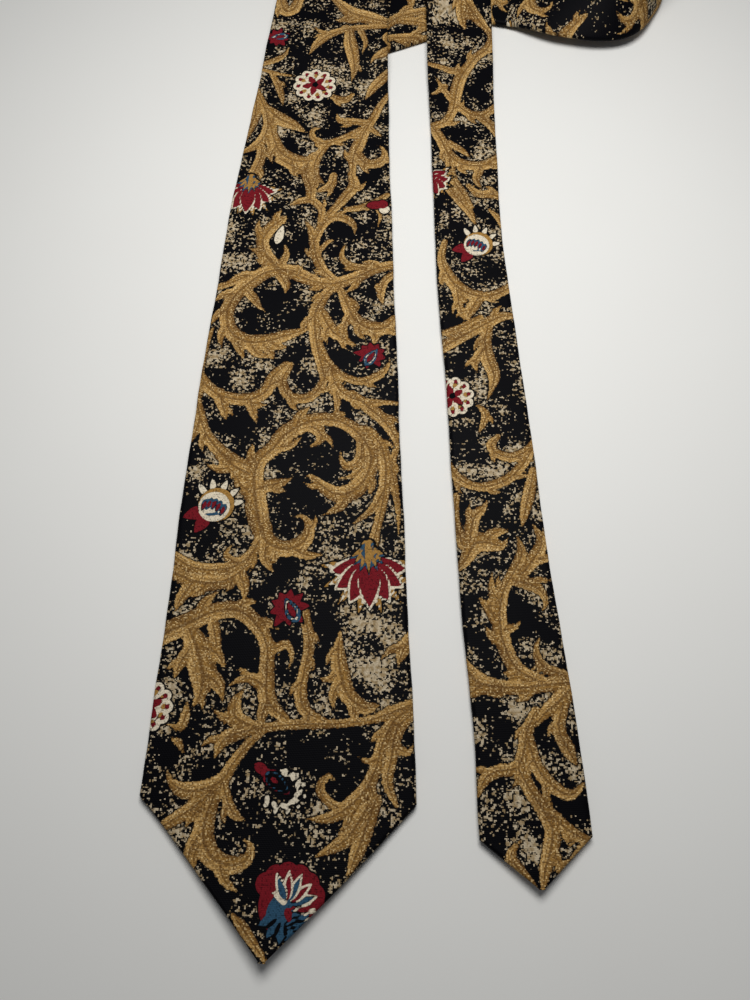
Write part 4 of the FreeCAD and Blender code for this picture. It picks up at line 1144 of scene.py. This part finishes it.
def gold_leaf(t, cloth, woven, depth, side, frayed_depth):
    """Gold with a lit side, a shaded side, a soft dark vein and rays, all grainy."""
    pixel = t.noise(woven, 0.55, 1.0)
    streak = t.calc("MULTIPLY_ADD", t.noise(woven, 1.2, 2.0), 1.3, -0.65)
    turned = t.calc("ADD", side, streak)
    gold = t.mix(t.step(turned, 0.25, -0.85), GOLD, GOLD_LIGHT)
    gold = t.mix(t.calc("MULTIPLY", t.step(turned, 0.10, 0.95), 0.80), gold, GOLD_DARK)
    worn = t.calc("MULTIPLY", t.step(t.noise(cloth, 14.0, 2.0), 0.50, 0.36), 0.45)
    gold = t.mix(worn, gold, GOLD_DARK)
    glint = t.calc("MULTIPLY", t.step(pixel, 0.54, 0.66), 0.62)
    gold = t.mix(glint, gold, GOLD_GLINT)
    grain = t.calc("MULTIPLY", t.step(pixel, 0.47, 0.36), 0.72)
    gold = t.mix(grain, gold, GOLD_DARK)
    off_vein = t.calc("ABSOLUTE", t.calc("ADD", side, t.calc("MULTIPLY", streak, 0.18)))
    vein = t.calc("MULTIPLY", t.step(off_vein, 0.24, 0.06), t.step(depth, 0.7, 1.3))
    ray = t.calc("SINE", t.calc("MULTIPLY_ADD", side, 11.0, t.calc("MULTIPLY", streak, 2.5)))
    ray = t.calc("MULTIPLY", t.step(ray, 0.45, 0.95), t.step(depth, 0.4, 0.9))
    lines = t.calc("MAXIMUM", t.calc("MULTIPLY", ray, 0.38), t.calc("MULTIPLY", vein, 0.70))
    rim = t.calc("MULTIPLY", t.step(frayed_depth, 0.55, 0.05), 0.45)
    return t.mix(t.calc("MAXIMUM", lines, rim), gold, GOLD_DARK)


def blooms(t, colour, woven, frayed):
    """The flowers over everything, on a dark surround. Gives the colour and their mask."""
    cream, red, blue = t.parts(t.attribute("bloom"))
    sand, dark, cover = t.parts(t.attribute("bloom_more"))
    slight = t.calc("MULTIPLY", frayed, 0.35)
    around = t.step(t.calc("ADD", cover, slight), -0.80, -0.45)
    colour = t.mix(around, colour, NAVY)
    bloom = None
    for field, tint in (
        (dark, NAVY), (sand, GOLD), (blue, PETAL_BLUE), (red, PETAL_RED), (cream, PETAL_CREAM),
    ):
        inside = t.step(t.calc("ADD", field, t.calc("MULTIPLY", slight, 0.5)), -0.08, 0.06)
        colour = t.mix(inside, colour, tint)
        bloom = inside if bloom is None else t.calc("MAXIMUM", bloom, inside)
    tied = t.calc("MULTIPLY", t.step(t.noise(woven, 0.8, 2.0), 0.47, 0.36), 0.55)
    return t.mix(t.calc("MULTIPLY", tied, bloom), colour, NAVY), bloom


def tie_fabric():
    """Dark silk with gold scrolls, sandy speckle and flowers woven in."""
    t = Tree("tie_fabric")
    cloth = t.attribute("cloth")
    depth, side, ground = t.parts(t.attribute("leaf"))
    woven = t.snapped(cloth, (0.50, 0.40, 1.0))
    frayed = t.calc("MULTIPLY_ADD", t.noise(woven, 1.0, 2.0, 0.7), 2.6, -1.3)
    # depth inside a leaf, with the steps of its woven edge added
    frayed_depth = t.calc("MULTIPLY_ADD", frayed, 0.80, t.calc("SUBTRACT", depth, 0.22))

    speck, colour = speckled_ground(t, cloth, woven, ground, frayed_depth)
    leaf = t.step(frayed_depth, -0.05, 0.08)
    colour = t.mix(leaf, colour, gold_leaf(t, cloth, woven, depth, side, frayed_depth))
    colour, bloom = blooms(t, colour, woven, frayed)

    rib = ribs(t, cloth, 0.95, 0.62)
    fine = t.noise(woven, 0.45)
    shade = t.calc("MULTIPLY_ADD", rib, 0.13, t.calc("MULTIPLY_ADD", fine, 0.9, 0.52))
    # the wrong side shows where the cloth turns in
    behind = t.nodes.new("ShaderNodeNewGeometry").outputs["Backfacing"]
    colour = t.mix(behind, t.scaled(colour, shade), WRONG_SIDE)

    raised = t.calc("MAXIMUM", leaf, t.calc("MAXIMUM", bloom, t.calc("MULTIPLY", speck, 0.7)))
    height = t.calc("MULTIPLY_ADD", rib, 0.22, t.calc("MULTIPLY_ADD", fine, 0.35, raised))
    t.bump(height, 0.16, 0.5)
    roughness = t.calc("MULTIPLY_ADD", raised, 0.12, t.calc("MULTIPLY_ADD", fine, 0.16, 0.44))
    return t.finish(colour, roughness, sheen=0.0, specular=0.03)


def plain_cloth(name, low, high, weave_mm, roughness, sheen, bump):
    """A simple woven cloth between two tones."""
    t = Tree(name)
    place = t.place_in_mm()
    rib = ribs(t, place, weave_mm, weave_mm * 0.7)
    slub = t.noise(place, weave_mm * 6.0, 2.0)
    tone = t.calc("MULTIPLY_ADD", rib, 0.22, slub)
    colour = t.mix(t.step(tone, 0.25, 0.85), low, high)
    t.bump(t.calc("MULTIPLY_ADD", slub, 0.4, rib), weave_mm * 0.2, bump)
    worn = t.calc("MULTIPLY_ADD", slub, 0.2, roughness - 0.1)
    return t.finish(colour, worn, sheen=sheen)


def twisted_thread(name, colour, light):
    """Sewing thread, with its twist as slanted bands."""
    t = Tree(name)
    place = t.place_in_mm()
    x, y, z = t.parts(place)
    along = t.calc("ADD", t.calc("MULTIPLY", x, 5.0), t.calc("MULTIPLY", y, 9.0))
    twist = t.calc("SINE", t.calc("ADD", along, t.calc("MULTIPLY", z, 8.0)))
    fuzz = t.noise(place, 0.4, 2.0)
    tone = t.calc("MULTIPLY_ADD", twist, 0.3, fuzz)
    t.bump(tone, 0.08, 0.6)
    return t.finish(t.mix(t.step(tone, 0.2, 0.9), colour, light), 0.55, sheen=0.2)


def label_cloth():
    """Close dark ribbon with a plain border, and no words."""
    t = Tree("label")
    cloth = t.attribute("cloth")
    x, y, _ = t.parts(cloth)
    from_edge_x = t.calc("SUBTRACT", LABEL_SIZE[0] / 2, t.calc("ABSOLUTE", x))
    from_edge_y = t.calc("SUBTRACT", LABEL_SIZE[1] / 2, t.calc("ABSOLUTE", y))
    inset = t.calc("MINIMUM", from_edge_x, from_edge_y)
    on_line = t.calc("ABSOLUTE", t.calc("SUBTRACT", inset, 2.2))
    line = t.step(on_line, 0.42, 0.22)
    rib = ribs(t, cloth, 0.5, 0.4)
    fine = t.noise(cloth, 0.6, 2.0)
    line = t.calc("MULTIPLY", line, t.step(fine, 0.25, 0.5))
    colour = t.mix(line, LABEL_GROUND, LABEL_RIM)
    t.bump(t.calc("MULTIPLY_ADD", rib, 0.5, fine), 0.06, 0.6)
    return t.finish(colour, t.calc("MULTIPLY_ADD", fine, 0.2, 0.42), sheen=0.2)


def table_top():
    """Pale, faintly mottled table."""
    t = Tree("table_top")
    place = t.place_in_mm()
    mottled = t.noise(place, 60.0, 3.0)
    colour = t.mix(mottled, TABLE, TABLE_WORN)
    t.bump(t.noise(place, 1.5, 2.0), 0.05, 0.10)
    return t.finish(colour, 0.62, specular=0.25)


FABRIC = tie_fabric()
SATIN = plain_cloth("tipping_satin", LINING, LINING_SHEEN, 0.35, 0.34, 0.25, 0.35)
INTERLINING = plain_cloth("interlining_wool", WOOL, WOOL_LIGHT, 0.9, 0.85, 0.3, 0.7)
THREAD = twisted_thread("thread", THREAD_DARK, THREAD_LIGHT)
LABEL = label_cloth()

# =====================================================================================
# Pieces
# =====================================================================================


# Lengths of the two blades, from their tips, that lie in the drawing's own place.
FRONT_LAID = 455.0
TAIL_LAID = 395.0


# Where each inner layer starts and ends along the band.
FRONT_TIPPING = (6.0, FRONT_OPENING + 12)
TAIL_TIPPING = (TOTAL - TAIL_OPENING - 10, TOTAL - 4.5)
FRONT_WOOL = (14.0, FRONT_SEAM + 90)
TAIL_WOOL = (FRONT_SEAM + 92, TOTAL - 8.0)

FINE_THREAD = 0.13
THREAD_RADIUS = 0.14
STITCH_PITCH = 8.5
STITCH_LENGTH = 2.8
TACK_HALF = 3.3


def dress(piece, material, nodes):
    """Material, body, slot and the CAD nodes that a finished piece stands for."""
    piece.data.materials.append(material)
    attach(piece, "root")
    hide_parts(*nodes)
    return piece


def spots(places, u, v):
    """Points by place along the band, u across it and v out of its face."""
    shape = np.broadcast(places, u, v).shape
    places, u, v = (np.broadcast_to(a, shape).ravel() for a in (places, u, v))
    middle, across, normal = band.at(places)
    points = middle + across * u[:, None] + normal * v[:, None]
    return points.reshape(*shape, 3)


def shell_outline(columns, seams, waves):
    """Outline of the folded fabric, with slow waves and a dip at the seams it ends on."""
    def outline(places):
        half, thick = half_at(places), thick_at(places)
        for seam in seams:
            dip = np.exp(-((places - seam) / 1.1) ** 2)
            thick = thick - 0.30 * dip
            half = half - 0.25 * dip
        edge_wave = ripple(places, waves, ((0.16, 71.0), (0.08, 31.0), (0.04, 13.0)))
        u, v = profile(half, thick, opening_at(places), columns)
        share = u / half[:, None]
        u = u + edge_wave[:, None] * share**3 * np.clip(half / 25, 0.3, 1)[:, None]
        soft = ripple(places, waves + 1, ((0.10, 83.0), (0.07, 37.0)))
        on_face = np.clip(v / thick[:, None], 0, 1)
        swell = soft[:, None] * (1 + np.sin(share * 4.0 + places[:, None] / 45.0))
        return u, v + on_face * swell * 0.6
    return outline


def fabric_piece(name, places, columns, seams, waves, coordinates):
    """One length of the folded outer fabric, with the pattern on it."""
    piece, u, _, points = band_mesh(name, places, shell_outline(columns, seams, waves))
    x, y = coordinates(places, u, points)
    paint(piece, x.ravel(), y.ravel())
    return piece


def eased(points, plain_x, plain_y, share):
    """Cloth coordinates that go from the seen ones to the plain ones as share goes to 1."""
    seen = seen_place(points.reshape(-1, 3)).reshape(*points.shape[:2], 2)
    share = np.clip(share, 0, 1)[:, None]
    x = seen[..., 0] * (1 - share) + plain_x * share
    y = seen[..., 1] * (1 - share) + plain_y[:, None] * share
    return x, there_and_back(y)


def front_coordinates(places, u, points):
    """The laid blade keeps the drawing; past its top the drawing runs back and forth."""
    share = (places - FRONT_LAID) / 25.0
    return eased(points, u + FRONT_LINE[-1][0], places - FRONT_POINT, share)


def neck_coordinates(places, u, points):
    """The neck piece takes a plain strip out of the drawing."""
    along = np.broadcast_to(places[:, None] + 35.0, u.shape)
    return u - 6.0, there_and_back(along, 60.0, 390.0)


def tail_coordinates(places, u, points):
    """The narrow blade keeps the drawing up to where the ring begins."""
    from_tip = TOTAL - places
    plain_y = TAIL_Y - TAIL_POINT + from_tip
    return eased(points, TAIL_CROSS_X - u, plain_y, (from_tip - TAIL_LAID) / 20.0)


front_places = np.concatenate([
    np.arange(0.0, FRONT_LAID, 0.95),
    np.arange(FRONT_LAID, FRONT_SEAM, 2.0),
    [FRONT_SEAM],
])
neck_places = np.linspace(FRONT_SEAM, TAIL_SEAM, 231)
tail_places = np.linspace(TAIL_SEAM, TOTAL, 411)

front = fabric_piece(
    "front_blade", front_places, (18, 7, 104), (FRONT_SEAM,), 11, front_coordinates
)
neck = fabric_piece(
    "neck_piece", neck_places, (13, 7, 32), (FRONT_SEAM, TAIL_SEAM), 21, neck_coordinates
)
tail = fabric_piece(
    "tail_blade", tail_places, (14, 7, 42), (TAIL_SEAM,), 31, tail_coordinates
)
dress(front, FABRIC, ["front_blade_shell"])
dress(neck, FABRIC, ["neck_piece_shell"])
dress(tail, FABRIC, ["tail_blade_shell"])


def inner_sheet(name, places, half, level, columns=25):
    """A flat inner layer, half(places) to each side and level(places) off the middle."""
    across = np.linspace(-1, 1, columns)

    def outline(at):
        wave = ripple(at, 5, ((0.05, 23.0), (0.04, 9.0)))
        u = half(at)[:, None] * across[None, :]
        return u, level(at)[:, None] + wave[:, None] * np.cos(across * 5)[None, :]

    return band_mesh(name, places, outline)[0]


def lining_half(at):
    """The lining reaches past the opening on each side, and stays inside the fold."""
    return np.maximum(np.minimum(opening_at(at) + TURN_IN, half_at(at) - thick_at(at) - 0.8), 0.3)


def lining_level(at):
    """The lining lies on the inside of the back."""
    return -thick_at(at) + 0.62


def wool_half(at):
    """The interlining fills the fold but for a little air."""
    return np.maximum(half_at(at) - thick_at(at) - 0.6, 0.3)


def wool_level(at):
    """The interlining lies in the middle of the fold."""
    return 0.0 * at


front_tipping = inner_sheet(
    "front_lining", np.linspace(*FRONT_TIPPING, 120), lining_half, lining_level, 41
)
tail_tipping = inner_sheet(
    "tail_lining", np.linspace(*TAIL_TIPPING, 70), lining_half, lining_level
)
front_wool = inner_sheet(
    "front_wool_layer", np.linspace(*FRONT_WOOL, 330), wool_half, wool_level
)
tail_wool = inner_sheet(
    "tail_wool_layer", np.linspace(*TAIL_WOOL, 300), wool_half, wool_level, 15
)
dress(front_tipping, SATIN, ["front_tipping"])
dress(tail_tipping, SATIN, ["tail_tipping"])
dress(front_wool, INTERLINING, ["front_interlining"])
dress(tail_wool, INTERLINING, ["tail_interlining"])


def strip(name, place, span, width, height, level, sag=0.0, bend=0.0, rows=61):
    """A closed flat strip across the back: rounded edges, its ends bent in to the blade."""
    across = np.linspace(-1.0, 1.0, rows)
    angle = np.linspace(0, 2 * math.pi, 29)[:-1]
    lift = np.abs(np.cos(angle)) ** 0.25 * np.sign(np.cos(angle))
    out = np.abs(np.sin(angle)) ** 0.6 * np.sign(np.sin(angle))
    u = across[:, None] * span / 2 + 0 * angle[None, :]
    ends = np.clip((np.abs(across) - 0.80) / 0.20, 0, 1)
    ends = ends * ends * (3 - 2 * ends)
    along = place + (width / 2) * lift[None, :] * np.ones((rows, 1))
    along = along + bend * np.sin(across * 3.0)[:, None]
    v = -thick_at(along) - level - height / 2 - sag * (1 - ends)[:, None] + out[None, :] * height / 2
    points = spots(along, u, v)
    columns = len(angle)
    faces = [
        (i * columns + j, i * columns + (j + 1) % columns,
         (i + 1) * columns + (j + 1) % columns, (i + 1) * columns + j)
        for i in range(rows - 1) for j in range(columns)
    ]
    faces.append(tuple(range(columns))[::-1])
    faces.append(tuple((rows - 1) * columns + j for j in range(columns)))
    piece = to_object(name, points.reshape(-1, 3), faces)
    piece.data.validate()
    return piece, u.ravel(), (along - place).ravel()


def tubes(name, threads, radius, sides=6):
    """Round threads along lists of points, all in one mesh."""
    points, faces = [], []
    for line in threads:
        line = np.array(line)
        ahead = np.gradient(line, axis=0)
        ahead /= np.linalg.norm(ahead, axis=1)[:, None] + 1e-9
        aside = np.cross(ahead, UP)
        aside /= np.linalg.norm(aside, axis=1)[:, None] + 1e-9
        over = np.cross(aside, ahead)
        start = len(points)
        for i in range(len(line)):
            taper = 0.55 if i in (0, len(line) - 1) else 1.0
            for k in range(sides):
                a = 2 * math.pi * k / sides
                out = math.cos(a) * aside[i] + math.sin(a) * over[i]
                points.append(line[i] + radius * taper * out)
        for i in range(len(line) - 1):
            for k in range(sides):
                a, b = start + i * sides + k, start + i * sides + (k + 1) % sides
                faces.append((a, b, b + sides, a + sides))
        faces.append(tuple(start + k for k in range(sides))[::-1])
        faces.append(tuple(start + (len(line) - 1) * sides + k for k in range(sides)))
    return to_object(name, points, faces)


keeper, keeper_u, keeper_w = strip(
    "keeper_strip", KEEPER_PLACE, KEEPER_SPAN, KEEPER_WIDTH, 0.55, 0.06, sag=0.42, bend=0.25
)
paint(keeper, keeper_u, 150.0 + keeper_w)
dress(keeper, FABRIC, ["keeper_loop"])

label, label_u, label_w = strip(
    "blank_label", LABEL_PLACE, LABEL_SIZE[0], LABEL_SIZE[1], 0.30, 0.08, rows=31
)
set_attribute(label, "cloth", np.stack([label_u, label_w, 0 * label_u], axis=1))
dress(label, LABEL, ["care_label"])


def slip_stitches():
    """Slanted stitches that catch the lap of the back, one every few millimetres."""
    threads = []
    start, end = FRONT_OPENING + 6.0, TOTAL - TAIL_OPENING - 5.0
    for place in np.arange(start, end, STITCH_PITCH):
        if abs(place - LABEL_PLACE) < LABEL_SIZE[1] / 2 + 1.5:
            continue
        t = np.linspace(0, 1, 6)
        along = place + STITCH_LENGTH * t
        u = -0.9 + 2.6 * t
        v = -thick_at(along) + 0.16 - 0.26 * np.sin(t * math.pi)
        threads.append(spots(along, u, v))
    return tubes("slip_stitches", threads, FINE_THREAD)


def bar_tack(name, place, ahead):
    """A short bar: long core threads wrapped closely by small ones."""
    threads = []
    t = np.linspace(-1, 1, 9)
    for offset in (-0.32, 0.0, 0.32):
        v = -thick_at(place + 0 * t) - 0.12 + 0.15 * t**6
        threads.append(spots(place + offset + 0 * t, TACK_HALF * t, v))
    wrap = np.linspace(-1, 1, 7)
    for u in np.arange(-2.7, 2.8, 0.33):
        v = -thick_at(place + 0 * wrap) - 0.26 + 0.24 * wrap**4
        threads.append(spots(place + 0.52 * wrap, u + 0.08 * wrap * ahead, v))
    return tubes(name, threads, THREAD_RADIUS)


def end_stitches():
    """Rows of stitches over both ends of the keeper."""
    threads = []
    t = np.linspace(-1, 1, 7)
    for side in (-1, 1):
        for along in np.arange(-5.4, 5.5, 0.9):
            u = side * (KEEPER_SPAN / 2 - 0.9) + 0.95 * t
            v = -thick_at(KEEPER_PLACE + 0 * t) - 0.66 + 0.50 * t**4
            threads.append(spots(KEEPER_PLACE + along + 0.2 * t, u, v))
    return tubes("keeper_threads", threads, THREAD_RADIUS)


def seam_ring(name, seam):
    """The narrow sewn line where two lengths of the band meet, just under the cloth."""
    def outline(places):
        half, thick = half_at(places) - SEAM_INSET, thick_at(places) - SEAM_INSET
        return profile(half, thick, np.zeros_like(places), (9, 7, 21))

    return band_mesh(name, SEAM_ROWS + seam, outline)[0]


for sewn, node in (
    (slip_stitches(), "slip_stitch"),
    (bar_tack("front_tack_threads", FRONT_OPENING + 1.0, 1), "front_bar_tack"),
    (bar_tack("tail_tack_threads", TOTAL - TAIL_OPENING - 1.0, -1), "tail_bar_tack"),
    (end_stitches(), "keeper_stitches"),
    (seam_ring("front_seam_line", FRONT_SEAM), "front_neck_seam"),
    (seam_ring("tail_seam_line", TAIL_SEAM), "tail_neck_seam"),
):
    dress(sewn, THREAD, [node])


def flat_area(start, end, width_at):
    """Flat area in square metres of a length of cloth."""
    places = np.linspace(start, end, 400)
    width = width_at(places)
    return float(np.sum((width[1:] + width[:-1]) / 2 * np.diff(places))) * MM * MM


def cut_area(start, end):
    """A length of the outer fabric: face, back and turnings."""
    return flat_area(start, end, lambda places: 4 * half_at(places) + TURNINGS)


def strip_area(start, end, half):
    """A length of an inner layer."""
    return flat_area(start, end, lambda places: 2 * half(places))


cut_area(0.0, FRONT_SEAM)
cut_area(FRONT_SEAM, TAIL_SEAM)
cut_area(TAIL_SEAM, TOTAL)
strip_area(*FRONT_TIPPING, lining_half)
strip_area(*TAIL_TIPPING, lining_half)
strip_area(*FRONT_WOOL, wool_half)
strip_area(*TAIL_WOOL, wool_half)

# =====================================================================================
# Floor, light and camera
# =====================================================================================

FLOOR_REACH = 2.5
FLOOR_DROP = 0.0003
LAMP_PLACE = (-0.02, 0.045, 0.43)
LAMP_SIZE = 0.24
LAMP_POWER = 2.05
LAMP_COLOUR = (1.0, 0.99, 0.98)
ROOM_COLOUR = (0.93, 0.95, 1.0, 1)
ROOM_STRENGTH = 0.10

corners = [(x * FLOOR_REACH, y * FLOOR_REACH, 0) for x, y in ((-1, -1), (1, -1), (1, 1), (-1, 1))]
floor_mesh = bpy.data.meshes.new("floor")
floor_mesh.from_pydata(corners, [], [(0, 1, 2, 3)])
floor = bpy.data.objects.new("floor", floor_mesh)
floor.location.z = -FLOOR_DROP
floor.data.materials.append(table_top())
bpy.context.scene.collection.objects.link(floor)


lamp = bpy.data.lights.new("lamp", "AREA")
lamp.shape = "SQUARE"
lamp.size = LAMP_SIZE
lamp.energy = LAMP_POWER
lamp.color = LAMP_COLOUR
lamp_object = bpy.data.objects.new("lamp", lamp)
lamp_object.location = LAMP_PLACE
lamp_object.rotation_euler = (-Vector(LAMP_PLACE)).to_track_quat("-Z", "Y").to_euler()
bpy.context.scene.collection.objects.link(lamp_object)

world = bpy.data.worlds.new("room")
world.use_nodes = True
background = world.node_tree.nodes["Background"]
background.inputs["Color"].default_value = ROOM_COLOUR
background.inputs["Strength"].default_value = ROOM_STRENGTH
bpy.context.scene.world = world
bpy.context.scene.view_settings.view_transform = "Standard"

camera_data = bpy.data.cameras.new("camera")
camera_data.sensor_fit = "VERTICAL"
camera_data.sensor_height = 36.0
camera_data.lens = 27.0
camera_data.clip_start = 0.01
camera = bpy.data.objects.new("camera", camera_data)
camera.location = (
    (ORIGIN[0] + CAMERA_FOOT[0]) * MM,
    (ORIGIN[1] + CAMERA_FOOT[1]) * MM,
    CAMERA_HEIGHT * MM,
)
camera.rotation_euler = (CAMERA_TIP, 0.0, CAMERA_TURN)
bpy.context.scene.collection.objects.link(camera)
bpy.context.scene.camera = camera
